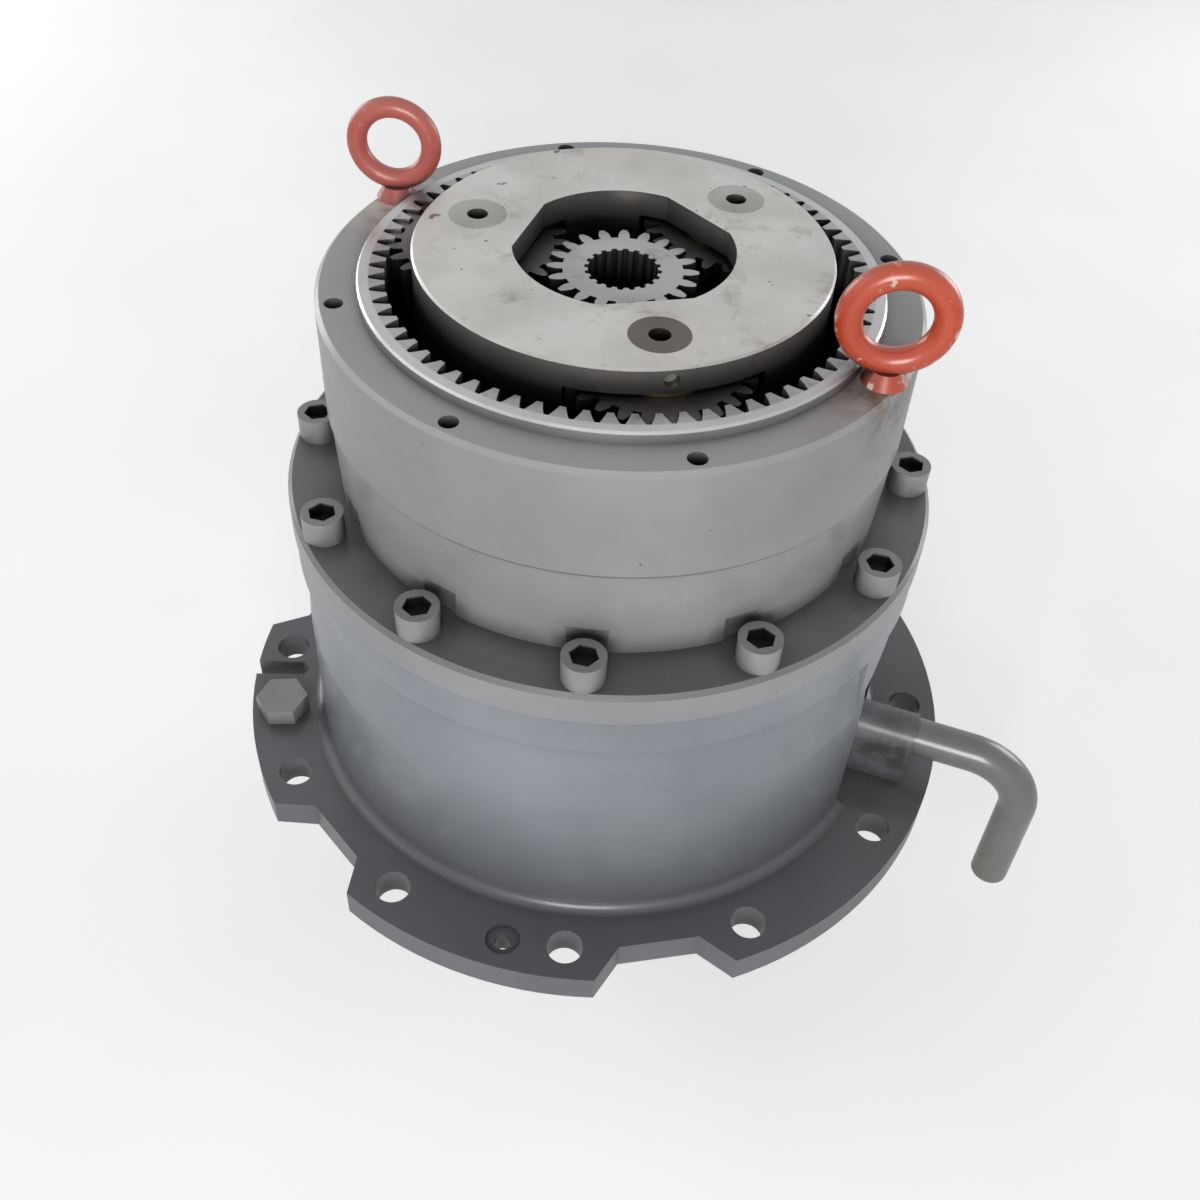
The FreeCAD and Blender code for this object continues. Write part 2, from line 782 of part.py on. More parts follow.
def ring_gear_housing():
    blank = new_body("housing_blank")
    line = f"{JOINT} + casting_line_rise"
    revolve(
        blank,
        "housing_outside",
        [
            ("0", JOINT),
            ("joint_flange_radius", JOINT),
            ("joint_flange_radius", JOINT_FLANGE_TOP),
            ("housing_foot_radius", JOINT_FLANGE_TOP),
            ("housing_radius - casting_line_step", line),
            ("housing_radius", f"{line} + 1.5"),
            ("housing_radius", HOUSING_FACE),
            ("register_radius", HOUSING_FACE),
            ("register_radius", f"{HOUSING_TOP} - register_chamfer"),
            ("register_radius - register_chamfer", HOUSING_TOP),
            ("0", HOUSING_TOP),
        ],
    )
    edges = [("housing_radius", HOUSING_FACE), ("joint_flange_radius", JOINT_FLANGE_TOP)]
    round_edges(blank, "housing_edges", edges, "housing_edge", "PartDesign::Chamfer")
    drill_ring(
        blank, "head_reliefs", "joint_bolt_circle", "0", "joint_bolt_count", "relief_radius",
        f"{JOINT_FLANGE_TOP} + relief_height", "relief_height",
    )
    drill_ring(
        blank, "joint_bolt_holes", "joint_bolt_circle", "0", "joint_bolt_count",
        "joint_bolt_radius + joint_hole_gap", JOINT_FLANGE_TOP, "joint_flange_thickness",
    )
    drill_ring(
        blank, "housing_dowel_holes", "joint_bolt_circle", "15", "2", "dowel_radius + fixed_gap",
        f"{JOINT} + dowel_length / 2", "dowel_length / 2",
    )
    drill_ring(
        blank, "motor_threads", "motor_bolt_circle", "motor_bolt_angle", "motor_bolt_count",
        "motor_tap_radius", HOUSING_FACE, "motor_tap_depth",
    )
    thinning = number("tooth_thinning")
    hole = gear_face(ring_teeth, module, ring_phase(), thinning, inside=True)
    cavity = prism("ring_cavity", hole, f"{JOINT} - 1", f"{HOUSING_TOP} - {JOINT} + 2")
    return cut("ring_gear_housing", blank, cavity)


keep(ring_gear_housing())


# Fasteners and the seal of the joint between the castings


def joint_bolts():
    body = new_body("joint_bolts")
    spot = [at_angle("joint_bolt_circle", "0")]
    shank = "joint_flange_thickness + joint_thread_length"
    foot = f"{JOINT} - joint_thread_length"
    add_discs(body, "bolt_shank", spot, "joint_bolt_radius", foot, shank)
    add_discs(body, "bolt_head", spot, "joint_head_radius", JOINT_FLANGE_TOP, "joint_head_height")
    top = f"{JOINT_FLANGE_TOP} + joint_head_height"
    socket = new_sketch(body, "XY_Plane", "bolt_socket_outline", top)
    outline(socket, across_flats("joint_socket_width", "joint_bolt_circle", "0", "20"))
    cut_down(body, "bolt_socket", socket, "joint_socket_depth")
    features = [item for item in body.Group if not item.isDerivedFrom("Sketcher::SketchObject")]
    solids = [item for item in features if item.isDerivedFrom("PartDesign::Feature")]
    pattern = repeat_round(body, "bolts_round", solids[0], "joint_bolt_count")
    pattern.Originals = solids
    return body


keep(joint_bolts())


def joint_dowels():
    body = new_body("joint_dowels")
    spot = [at_angle("joint_bolt_circle", "15")]
    low = f"{JOINT} - dowel_length / 2"
    pin = add_discs(body, "dowel", spot, "dowel_radius", low, "dowel_length")
    repeat_round(body, "dowels_round", pin, "2")
    return body


keep(joint_dowels())
keep(
    turned(
        "joint_seal_ring",
        [
            ("seal_ring_radius - seal_ring_section / 2", f"{JOINT} - seal_ring_section"),
            ("seal_ring_radius + seal_ring_section / 2", f"{JOINT} - seal_ring_section"),
            ("seal_ring_radius + seal_ring_section / 2", JOINT),
            ("seal_ring_radius - seal_ring_section / 2", JOINT),
        ],
    )
)


# Eye bolts in two motor bolt holes


def eye_bolt(side, angle, facing):
    """A lifting eye on a collar, its ring upright and turned to face a direction."""
    x, y = at_angle("motor_bolt_circle", angle)
    label = f"eye_bolt_{side}"
    radius = f"{side}_eye_radius"
    bore = f"{side}_eye_bore"
    wire = f"({radius} - {bore}) / 2"
    shank = cylinder(
        f"{side}_shank", "motor_tap_radius - thread_gap", f"{HOUSING_FACE} - eye_shank_length",
        "eye_shank_length + eye_sink", number(x), number(y),
    )
    foot = doc.addObject("Part::Cone", f"{side}_collar")
    foot.setExpression("Radius1", bound("collar_radius"))
    foot.setExpression("Radius2", bound("collar_radius * collar_top_share"))
    foot.setExpression("Height", bound("collar_height"))
    foot.Placement.Base = FreeCAD.Vector(number(x), number(y), number(HOUSING_FACE))
    ring = doc.addObject("Part::Torus", f"{side}_ring")
    ring.setExpression("Radius1", bound(f"({radius} + {bore}) / 2"))
    ring.setExpression("Radius2", bound(wire))
    height = number(f"{HOUSING_FACE} + collar_height - eye_sink + {radius}")
    across = FreeCAD.Rotation(FreeCAD.Vector(1, 0, 0), 90)
    upright = FreeCAD.Rotation(FreeCAD.Vector(0, 0, 1), facing).multiply(across)
    ring.Placement = FreeCAD.Placement(FreeCAD.Vector(number(x), number(y), height), upright)
    whole = doc.addObject("Part::MultiFuse", label)
    whole.Label = label
    whole.Shapes = [shank, foot, ring]
    return whole


keep(eye_bolt("front", f"motor_bolt_angle - {360 / 8}", 0))
keep(eye_bolt("rear", f"motor_bolt_angle + {3 * 360 / 8}", 0))


# Drain pipe


def drain_pipe():
    """A pipe that runs out from its boss and bends down past the flange."""
    reach, bend = number("pipe_reach"), number("pipe_bend_radius")
    start = number("drain_boss_end - pipe_insert")
    top, drop = number("drain_height"), number("pipe_drop")
    at = lambda radius, height: FreeCAD.Vector(radius, 0, height)
    slope = bend * math.sqrt(0.5)
    path = Part.Wire(
        [
            Part.makeLine(at(start, top), at(reach - bend, top)),
            Part.Arc(
                at(reach - bend, top), at(reach - bend + slope, top - bend + slope),
                at(reach, top - bend),
            ).toShape(),
            Part.makeLine(at(reach, top - bend), at(reach, top - drop)),
        ]
    )
    sections = []
    for radius in ("pipe_radius", "pipe_bore"):
        ring = Part.makeCircle(number(radius), at(start, top), FreeCAD.Vector(1, 0, 0))
        sections.append(path.makePipeShell([Part.Wire(ring)], True, False))
    pipe = doc.addObject("Part::Feature", "drain_pipe")
    pipe.Label = "drain_pipe"
    pipe.Shape = sections[0].cut(sections[1])
    turn = FreeCAD.Rotation(FreeCAD.Vector(0, 0, 1), number("drain_angle"))
    pipe.Placement = FreeCAD.Placement(FreeCAD.Vector(0, 0, 0), turn)
    return pipe


keep(drain_pipe())


def flange_hex_bolt():
    body = new_body("flange_hex_bolt")
    spot = at_angle("frame_bolt_circle", "hex_bolt_angle")
    add_discs(body, "hex_shank", [spot], "hex_bolt_radius", "1", "flange_thickness")
    head = new_sketch(body, "XY_Plane", "hex_head_outline", "flange_thickness")
    outline(head, across_flats("hex_bolt_width", spot[0], spot[1], "10"))
    raise_up(body, "hex_head", head, "hex_head_height")
    return body


keep(flange_hex_bolt())


# Seal cover under the lower bearing


def seal_cover():
    body = turned(
        "seal_cover",
        [
            ("seal_radius", COVER_BOTTOM),
            ("cover_radius", COVER_BOTTOM),
            ("cover_radius", "-pilot_depth"),
            ("lower_bearing_radius - running_gap", "-pilot_depth"),
            ("lower_bearing_radius - running_gap", "-pilot_depth + cover_spigot"),
            ("lower_bearing_radius - 12", "-pilot_depth + cover_spigot"),
            ("lower_bearing_radius - 12", "-pilot_depth + 4"),
            ("seal_radius", "-pilot_depth + 4"),
        ],
    )
    drill_ring(
        body, "cover_holes", "cover_screw_circle", "0", "cover_screw_count",
        "cover_screw_radius + joint_hole_gap", "-pilot_depth", "cover_thickness",
    )
    return body


keep(seal_cover())


def seal_cover_screws():
    body = new_body("seal_cover_screws")
    spot = [at_angle("cover_screw_circle", "0")]
    shank = add_discs(
        body, "cover_shank", spot, "cover_screw_radius", COVER_BOTTOM, "cover_thickness + 14"
    )
    head = new_sketch(body, "XY_Plane", "cover_head_outline", f"{COVER_BOTTOM} - cover_head_height")
    outline(head, across_flats("cover_head_width", "cover_screw_circle", "0"))
    block = raise_up(body, "cover_head", head, "cover_head_height")
    pattern = repeat_round(body, "cover_screws_round", shank, "cover_screw_count")
    pattern.Originals = [shank, block]
    return body


keep(seal_cover_screws())
keep(
    turned(
        "shaft_seal",
        [
            ("seal_radius - fixed_gap", f"{COVER_BOTTOM} + 1"),
            ("seal_radius - fixed_gap", f"{COVER_BOTTOM} + 1 + seal_width"),
            ("seal_radius - 4", f"{COVER_BOTTOM} + 1 + seal_width"),
            ("seal_radius - 4", f"{COVER_BOTTOM} + 5"),
            ("sleeve_radius + 3", f"{COVER_BOTTOM} + 5"),
            ("sleeve_radius + running_gap", f"{COVER_BOTTOM} + 9"),
            ("sleeve_radius + running_gap", f"{COVER_BOTTOM} + 7"),
            ("sleeve_radius + 2", f"{COVER_BOTTOM} + 1"),
        ],
    )
)


# Output shaft with its pinion


def output_shaft():
    waist_top = UPPER_LOW
    stem = turned(
        "shaft_stem",
        [
            ("0", "pinion_top - 1"),
            ("shaft_shoulder", "pinion_top - 1"),
            ("shaft_shoulder", SLEEVE_BOTTOM),
            ("lower_journal", SLEEVE_BOTTOM),
            ("lower_journal", LOWER_TOP),
            ("shaft_waist", f"{LOWER_TOP} + 4"),
            ("shaft_waist", waist_top),
            ("upper_journal", waist_top),
            ("upper_journal", UPPER_TOP),
            ("nut_thread_radius", UPPER_TOP),
            ("nut_thread_radius", NUT_TOP),
            ("spline_radius", NUT_TOP),
            ("spline_radius", END_PLATE_SEAT),
            ("0", END_PLATE_SEAT),
        ],
    )
    drill_ring(
        stem, "end_threads", "end_screw_circle", "0", "3", "end_screw_radius + thread_gap",
        END_PLATE_SEAT, "22",
    )
    teeth = int(number("pinion_teeth"))
    face = gear_face(teeth, number("pinion_module"), 0, number("tooth_thinning"))
    gear = prism("pinion_gear", face, "pinion_top - pinion_width", "pinion_width")
    whole = doc.addObject("Part::MultiFuse", "output_pinion_shaft")
    whole.Label = "output_pinion_shaft"
    whole.Shapes = [gear, stem]
    return whole


keep(output_shaft())
keep(
    turned(
        "seal_sleeve",
        [
            ("lower_journal + fixed_gap", SLEEVE_BOTTOM),
            ("sleeve_radius", SLEEVE_BOTTOM),
            ("sleeve_radius", "lower_bearing_height"),
            ("lower_journal + fixed_gap", "lower_bearing_height"),
        ],
    )
)


# Taper roller bearings, back to back: the rollers' thick ends point outwards


def taper_bearing(name, side, low):
    """Rings, rollers and cage of one bearing. Side is -1 with the thick ends down, 1 with them up."""
    journal = number(f"{name}_journal")
    outer = number(f"{name}_bearing_radius")
    width = number(f"{name}_bearing_width")
    low = number(low)
    roller = number(f"{name}_roller_radius")
    tilt = math.radians(number("roller_tilt"))
    length = width * number("roller_share")
    middle_radius = (journal + outer) / 2
    middle = low + width / 2
    far = middle_radius / math.sin(tilt)
    flare = math.atan(roller / far)
    apex_drop = middle_radius / math.tan(tilt)
    thick = roller * (1 + length / 2 / far)

    def place(from_middle):
        return middle + side * from_middle

    def race(from_middle, angle):
        return (apex_drop + from_middle) * math.tan(angle)

    def corners(points):
        return [(f"{radius:.6f}", f"{place(shift):.6f}") for radius, shift in points]

    inner_angle, outer_angle = tilt - flare, tilt + flare
    thick_end = length / 2 * math.cos(tilt) + thick * math.sin(tilt) + 0.4
    thin_end = length / 2 * math.cos(tilt) + 0.4
    half = width / 2
    bore = journal + number("fixed_gap")
    rib = race(thick_end, inner_angle) + 0.6 * roller
    thin_rib = race(-thin_end, inner_angle) + 0.2 * roller
    inner_points = [
        (bore, half),
        (rib, half),
        (rib, thick_end),
        (race(thick_end, inner_angle), thick_end),
        (race(-thin_end, inner_angle), -thin_end),
        (thin_rib, -thin_end),
        (thin_rib, -half),
        (bore, -half),
    ]
    keep(turned(f"{name}_bearing_inner_ring", corners(inner_points)))
    seat = outer - number("fixed_gap")
    outer_points = [
        (seat, half - 6),
        (race(half - 6, outer_angle), half - 6),
        (race(-half, outer_angle), -half),
        (seat, -half),
    ]
    keep(turned(f"{name}_bearing_outer_ring", corners(outer_points)))
    count = int(number("roller_count"))
    gap = number("running_gap")

    def roller_set(extra, longer):
        solids = []
        for k in range(count):
            start = far - length / 2 - longer
            stop = far + length / 2 + longer
            thin_radius = start * math.tan(flare) + extra
            thick_radius = stop * math.tan(flare) + extra
            cone = Part.makeCone(thin_radius, thick_radius, stop - start)
            cone.translate(FreeCAD.Vector(0, 0, start))
            lean = math.degrees(tilt) if side > 0 else 180 - math.degrees(tilt)
            cone.rotate(FreeCAD.Vector(0, 0, 0), FreeCAD.Vector(0, 1, 0), lean)
            cone.translate(FreeCAD.Vector(0, 0, middle - side * apex_drop))
            cone.rotate(FreeCAD.Vector(0, 0, 0), FreeCAD.Vector(0, 0, 1), 360 * k / count)
            solids.append(cone)
        return Part.makeCompound(solids)

    rollers = doc.addObject("Part::Feature", f"{name}_bearing_rollers")
    rollers.Shape = roller_set(-gap, 0)
    keep(rollers, f"{name}_bearing_rollers")
    band_half = number("cage_thickness") / 2
    ends = (-length / 2 - 3, length / 2 + 3)
    band_points = [
        (
            (far + along) * math.sin(tilt) + across * math.cos(tilt),
            -apex_drop + (far + along) * math.cos(tilt) - across * math.sin(tilt),
        )
        for along, across in (
            (ends[0], -band_half),
            (ends[1], -band_half),
            (ends[1], band_half),
            (ends[0], band_half),
        )
    ]
    band = turned(f"{name}_cage_band", corners(band_points))
    windows = doc.addObject("Part::Feature", f"{name}_cage_windows")
    windows.Shape = roller_set(0.3, 0.3)
    keep(cut(f"{name}_bearing_cage", band, windows))


taper_bearing("lower", -1, LOWER_LOW)
taper_bearing("upper", 1, UPPER_LOW)
keep(
    turned(
        "shaft_nut",
        [
            ("nut_thread_radius + thread_gap", UPPER_TOP),
            ("nut_radius", UPPER_TOP),
            ("nut_radius", NUT_TOP),
            ("nut_thread_radius + thread_gap", NUT_TOP),
        ],
    )
)


# Planet carriers


def lock_height(top, thickness):
    return f"{top} - {thickness} / 2"


def carrier_cuts(body, stage, angles, circle, tip, top, gap_top, gap_floor, bottom):
    """Planet pockets between the plates, and the pin and lock holes, of one carrier."""
    centres = [at_angle(circle, angle) for angle in angles]
    depth = f"{gap_top} - {gap_floor}"
    drill(body, f"{stage}_pockets", centres, f"{tip} + tip_gap", gap_top, depth)
    pin_hole = f"{stage}_pin_radius + fixed_gap"
    drill(body, f"{stage}_pin_holes", centres, pin_hole, top, f"{top} - {bottom}")
    for k, angle in enumerate(angles, start=1):
        radial_hole(
            body, f"{stage}_lock_hole_{k}", f"{angle}",
            lock_height(top, f"{stage}_plate_thickness"), "lock_hole_radius",
            f"{stage}_plate_radius + 1", f"{stage}_plate_radius - {circle} - 4",
        )


def first_window(body):
    """The round window of the top plate, with a flat towards each planet pin."""
    sketch = new_sketch(body, "XY_Plane", "window_outline", FIRST_TOP)
    radius, flat = number("window_radius"), number("window_flat")
    half = math.acos(flat / radius)
    count = len(first_angles)
    for k, angle in enumerate(first_angles):
        middle = math.radians(angle)
        following = math.radians(first_angles[(k + 1) % count])
        if following < middle:
            following += 2 * math.pi
        start, stop = polar(radius, middle - half), polar(radius, middle + half)
        between = polar(radius, (middle + following) / 2)
        sketch.addGeometry(Part.LineSegment(start, stop))
        sketch.addGeometry(Part.Arc(stop, between, polar(radius, following - half)))
    for k in range(2 * count):
        ends = (1, 2) if k % 2 else (2, 1)
        following = (k + 1) % (2 * count)
        sketch.addConstraint(Sketcher.Constraint("Coincident", k, 2, following, 1))
    for k, angle in enumerate(first_angles):
        for end, side in ((1, "-"), (2, "+")):
            turn = f"{angle} {side} acos(window_flat / window_radius) / 1 deg"
            x, y = at_angle("window_radius", turn)
            pin_point(sketch, 2 * k, end, x, y)
    return cut_down(body, "window", sketch, "first_plate_thickness")


def first_carrier():
    body = turned(
        "first_carrier_blank",
        [
            ("0", FIRST_BOTTOM),
            ("first_plate_radius", FIRST_BOTTOM),
            ("first_plate_radius", FIRST_TOP),
            ("0", FIRST_TOP),
        ],
    )
    rim = [("first_plate_radius", FIRST_TOP)]
    round_edges(body, "first_rim", rim, "register_chamfer", "PartDesign::Chamfer")
    depth = f"{FIRST_GAP_TOP} - {FIRST_GAP_FLOOR}"
    drill(body, "first_middle", [("0", "0")], "window_radius", FIRST_GAP_TOP, depth)
    tip = f"{module * (first_planet_teeth + 2) / 2}"
    carrier_cuts(
        body, "first", first_angles, f"{first_circle}", tip, FIRST_TOP, FIRST_GAP_TOP,
        FIRST_GAP_FLOOR, FIRST_BOTTOM,
    )
    first_window(body)
    thinning = number("tooth_thinning")
    face = gear_face(output_sun_teeth, module, output_sun_phase(), thinning, inside=True)
    hub = prism("hub_spline", face, f"{FIRST_BOTTOM} - 1", "first_lower_plate + 2")
    return cut("first_carrier", body, hub)


keep(first_carrier())


def second_carrier():
    body = turned(
        "second_carrier",
        [
            ("spline_radius + fixed_gap", NUT_TOP),
            ("hub_radius", NUT_TOP),
            ("hub_radius", SECOND_BOTTOM),
            ("second_plate_radius", SECOND_BOTTOM),
            ("second_plate_radius", SECOND_TOP),
            ("second_window_radius", SECOND_TOP),
            ("second_window_radius", SECOND_GAP_TOP),
            ("second_window_radius + 12", SECOND_GAP_TOP),
            ("second_window_radius + 12", SECOND_GAP_FLOOR),
            ("end_plate_radius + thread_gap", SECOND_GAP_FLOOR),
            ("end_plate_radius + thread_gap", END_PLATE_SEAT),
            ("spline_radius + fixed_gap", END_PLATE_SEAT),
        ],
    )
    tip = f"{module * (second_planet_teeth + 2) / 2}"
    carrier_cuts(
        body, "second", second_angles, f"{second_circle}", tip, SECOND_TOP, SECOND_GAP_TOP,
        SECOND_GAP_FLOOR, SECOND_BOTTOM,
    )
    return body


keep(second_carrier())


def end_plate():
    body = turned(
        "shaft_end_plate",
        [
            ("0", END_PLATE_SEAT),
            ("end_plate_radius", END_PLATE_SEAT),
            ("end_plate_radius", SECOND_GAP_FLOOR),
            ("0", SECOND_GAP_FLOOR),
        ],
    )
    drill_ring(
        body, "plate_holes", "end_screw_circle", "0", "3", "end_screw_radius + joint_hole_gap",
        SECOND_GAP_FLOOR, "end_plate_thickness",
    )
    drill_ring(
        body, "plate_counterbores", "end_screw_circle", "0", "3", "end_screw_radius * 1.7 + 0.5",
        SECOND_GAP_FLOOR, "end_plate_thickness / 2",
    )
    return body


def end_plate_screws():
    body = new_body("end_plate_screws")
    spot = [at_angle("end_screw_circle", "0")]
    seat = f"{SECOND_GAP_FLOOR} - end_plate_thickness / 2"
    foot = f"{seat} - end_screw_length"
    shank = add_discs(body, "end_shank", spot, "end_screw_radius", foot, "end_screw_length")
    head = add_discs(body, "end_head", spot, "end_screw_radius * 1.7", seat, "3.2")
    pattern = repeat_round(body, "end_screws_round", shank, "3")
    pattern.Originals = [shank, head]
    return body


keep(end_plate())
keep(end_plate_screws())


# Planets with their bushes, pins, lock pins and washers


def planet_set(stage, angles, circle, teeth, phase, top, gap_top, gap_floor, bottom):
    thinning = number("tooth_thinning")
    low = f"{gap_floor} + washer_thickness + face_gap"
    high = f"{gap_top} - washer_thickness"
    width = f"{stage}_planet_width"
    pin, bush = f"{stage}_pin_radius", f"{stage}_bush_radius"
    centres = [at_angle(f"{circle}", angle) for angle in angles]
    for k, angle in enumerate(angles, start=1):
        place = math.radians(angle)
        spot = polar(circle, place)
        label = f"{stage}_planet_{k}"
        face = gear_face(teeth, module, phase(place), thinning)
        gear = prism(f"{label}_gear", face, low, width, spot.x, spot.y)
        bore = cylinder(f"{label}_bore", f"{bush} + fixed_gap", low, width, spot.x, spot.y)
        keep(cut(label, gear, bore))
        sleeve = new_body(f"{label}_bush")
        add_discs(sleeve, f"{label}_bush_ring", [centres[k - 1]], bush, low, width, f"{pin} + running_gap")
        keep(sleeve)
    pins = new_body(f"{stage}_planet_pins")
    add_discs(pins, f"{stage}_pin_bars", centres, pin, bottom, f"{top} - {bottom}")
    drill(pins, f"{stage}_oil_holes", centres, "pin_oil_hole", top, "pin_oil_depth")
    locks = new_body(f"{stage}_lock_pins")
    for k, angle in enumerate(angles, start=1):
        height = lock_height(top, f"{stage}_plate_thickness")
        radial_hole(
            pins, f"{stage}_cross_hole_{k}", f"{angle}", height, "lock_hole_radius",
            f"{stage}_plate_radius", f"{stage}_plate_radius - {circle} - 4 - 1",
        )
        stop = f"{stage}_plate_radius - lock_pin_recess - lock_pin_length"
        bar = new_sketch(locks, "YZ_Plane", f"{stage}_lock_{k}_circle", stop, f"{angle}")
        circles(bar, [("0", height)], "lock_hole_radius - fixed_gap")
        raise_up(locks, f"{stage}_lock_{k}", bar, "lock_pin_length")
    keep(pins)
    keep(locks)
    washers = new_body(f"{stage}_thrust_washers")
    hole = f"{pin} + running_gap"
    add_discs(washers, f"{stage}_lower_washers", centres, "washer_radius", gap_floor, "washer_thickness", hole)
    add_discs(washers, f"{stage}_upper_washers", centres, "washer_radius", high, "washer_thickness", hole)
    keep(washers)


planet_set(
    "first", first_angles, first_circle, first_planet_teeth, first_planet_phase, FIRST_TOP,
    FIRST_GAP_TOP, FIRST_GAP_FLOOR, FIRST_BOTTOM,
)
planet_set(
    "second", second_angles, second_circle, second_planet_teeth, second_planet_phase, SECOND_TOP,
    SECOND_GAP_TOP, SECOND_GAP_FLOOR, SECOND_BOTTOM,
)


# Suns and thrust rings


def input_sun():
    thinning = number("tooth_thinning")
    low = f"({FIRST_GAP_TOP} + sun_rise - plate_rise - sun_width)"
    face = gear_face(input_sun_teeth, module, SUN_PHASE, thinning)
    gear = prism("input_sun_gear", face, low, "sun_width")
    spline = gear_face(20, 2, 0, 0.1, inside=True, depths=(0.45, 0.55))
    hole = prism("input_spline", spline, f"{low} - 1", "sun_width + 2")
    return cut("input_sun", gear, hole)


keep(input_sun())


def output_sun():
    low = f"({SECOND_GAP_FLOOR} + washer_thickness + face_gap)"
    face = gear_face(output_sun_teeth, module, output_sun_phase(), number("tooth_thinning"))
    gear = prism("output_sun_gear", face, low, f"{FIRST_GAP_FLOOR} - {low}")
    bore = cylinder("output_sun_bore", "second_sun_bore", low, f"{FIRST_GAP_FLOOR} - {low}")
    return cut("second_sun", gear, bore)


keep(output_sun())
keep(
    turned(
        "sun_thrust_plate",
        [
            ("thrust_plate_bore", FIRST_GAP_FLOOR),
            ("thrust_plate_radius", FIRST_GAP_FLOOR),
            ("thrust_plate_radius", f"{FIRST_GAP_FLOOR} + thrust_plate_thickness"),
            ("thrust_plate_bore", f"{FIRST_GAP_FLOOR} + thrust_plate_thickness"),
        ],
    )
)
keep(
    turned(
        "carrier_thrust_ring",
        [
            ("thrust_ring_bore", SECOND_TOP),
            ("thrust_ring_radius", SECOND_TOP),
            ("thrust_ring_radius", f"{SECOND_TOP} + thrust_ring_thickness"),
            ("thrust_ring_bore", f"{SECOND_TOP} + thrust_ring_thickness"),
        ],
    )
)


# Check every object, then write the sub-parts

doc.recompute()
failed = [item.Name for item in doc.Objects if {"Invalid", "Error"} & set(item.State)]
if failed:
    raise RuntimeError(f"these objects did not recompute: {failed}")
for item in sub_parts:
    if item.Shape.isNull() or not item.Shape.isValid():
        raise RuntimeError(f"{item.Label} has no valid shape")
for item in sub_parts:
    item.Shape.exportStep(f"parts/{item.Label}.step")
print(len(sub_parts), "sub-parts written")
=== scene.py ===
import math

import bpy
from mathutils import Matrix, Vector


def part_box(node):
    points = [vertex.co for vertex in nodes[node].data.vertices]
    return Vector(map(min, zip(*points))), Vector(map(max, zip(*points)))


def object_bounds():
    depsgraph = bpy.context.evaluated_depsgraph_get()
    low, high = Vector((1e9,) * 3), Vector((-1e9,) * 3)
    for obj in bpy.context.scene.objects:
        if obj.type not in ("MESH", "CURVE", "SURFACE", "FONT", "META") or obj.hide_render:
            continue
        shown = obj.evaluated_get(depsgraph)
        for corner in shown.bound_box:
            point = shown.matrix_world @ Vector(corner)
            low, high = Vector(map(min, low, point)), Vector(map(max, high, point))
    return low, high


# Swing gearbox of an excavator, seen from the front and above with its motor taken off.
# Metres, in the frame of the CAD nodes. The gear axis is Z.

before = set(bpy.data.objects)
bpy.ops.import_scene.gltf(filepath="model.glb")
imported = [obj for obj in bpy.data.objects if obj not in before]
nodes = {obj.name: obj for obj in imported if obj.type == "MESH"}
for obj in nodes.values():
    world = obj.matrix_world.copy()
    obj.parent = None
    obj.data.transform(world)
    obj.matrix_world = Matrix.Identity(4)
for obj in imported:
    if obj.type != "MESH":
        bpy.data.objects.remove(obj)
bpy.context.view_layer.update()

# Places and sizes on the part

PLATE_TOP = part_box("first_carrier")[1].z
REGISTER_RADIUS = 0.1425
REGISTER_HEIGHT = 0.0065
REGISTER_FADE = 0.0004
REGISTER_EDGE = (0.0003, 0.0001)
REGISTER_BAND = (0.1355, 0.1365)
FLANGE_UNDER_FACE = (0.012, 0.008)
CASTING_LINE = 0.2752
CASTING_LINE_HALF = 0.0013
JOINT_CIRCLE = 0.179
JOINT_BOLTS = 12
SOCKET_RADIUS = 0.0088
SOCKET_FADE = 0.0004
SOCKET_RIM = (0.0016, 0.0006)
BOSS_FOOT = (0.200, -0.060, 0.040)
PIPE_END = (0.289, -0.077, -0.058)
FRONT_PIN_SIDE = (-0.040, -0.030)
CASE_FOOT = (0.035, 0.130)

# How far the painted shade reaches out of corners and gaps, and how deep below the top oil and
# painted shade turn the colour black

CORNER_REACH = 0.016
GAP_REACH = 0.020
GEAR_DEPTHS = (0.034, 0.006)
RING_DEPTHS = (0.030, 0.010)
PLATE_DEPTHS = (0.018, 0.003)
PIN_DEPTHS = (0.012, 0.006)

# Shares of the ambient light and of the upward slope between which a mask falls

CREVICE_SHADE = (0.38, 0.90)
UPWARD_SLOPE = (0.25, 0.95)
COAT_ROUGHNESS = 0.18

# Stains: radius and fade

BOSS_STAIN = (0.022, 0.030)
PIPE_STAIN = (0.010, 0.050)
FRONT_EYE_STAIN = (0.020, 0.022)
REAR_EYE_STAIN = (0.018, 0.030)

# Colours

GRIME_AND_SHADE = (0.070, 0.073, 0.078)
WORN_FACE = (0.42, 0.42, 0.415)
OIL_AND_SHADE_BLACK = (0.008, 0.007, 0.007)
CORNER_SHADE = (0.018, 0.018, 0.018)
PAINT_SCUFF = (0.50, 0.50, 0.49)
PAINT_SPECK = (0.03, 0.03, 0.03)
BARE_CHIP = (0.66, 0.58, 0.50)
BOSS_OIL = (0.045, 0.040, 0.030)
PIPE_RUST = (0.19, 0.14, 0.08)
LINE_SHADE = (0.05, 0.05, 0.052)
FRONT_EYE_OIL = (0.16, 0.125, 0.10)
REAR_EYE_WEAR = (0.62, 0.60, 0.55)
REGISTER_SHINE = (0.64, 0.64, 0.63)
SCRATCH = (0.62, 0.61, 0.59)
NICK = (0.06, 0.05, 0.045)
PLATE_FLANK_REFLECTION = (0.045, 0.038, 0.036)
PIN_BROWN = (0.085, 0.062, 0.048)
FLOOR_TONES = ((0.78, 0.78, 0.775), (0.84, 0.84, 0.835))
FLOOR_GLOW = (1.0, 1.0, 1.0, 1.0)
BACKDROP = (0.92, 0.94, 0.96, 1.0)
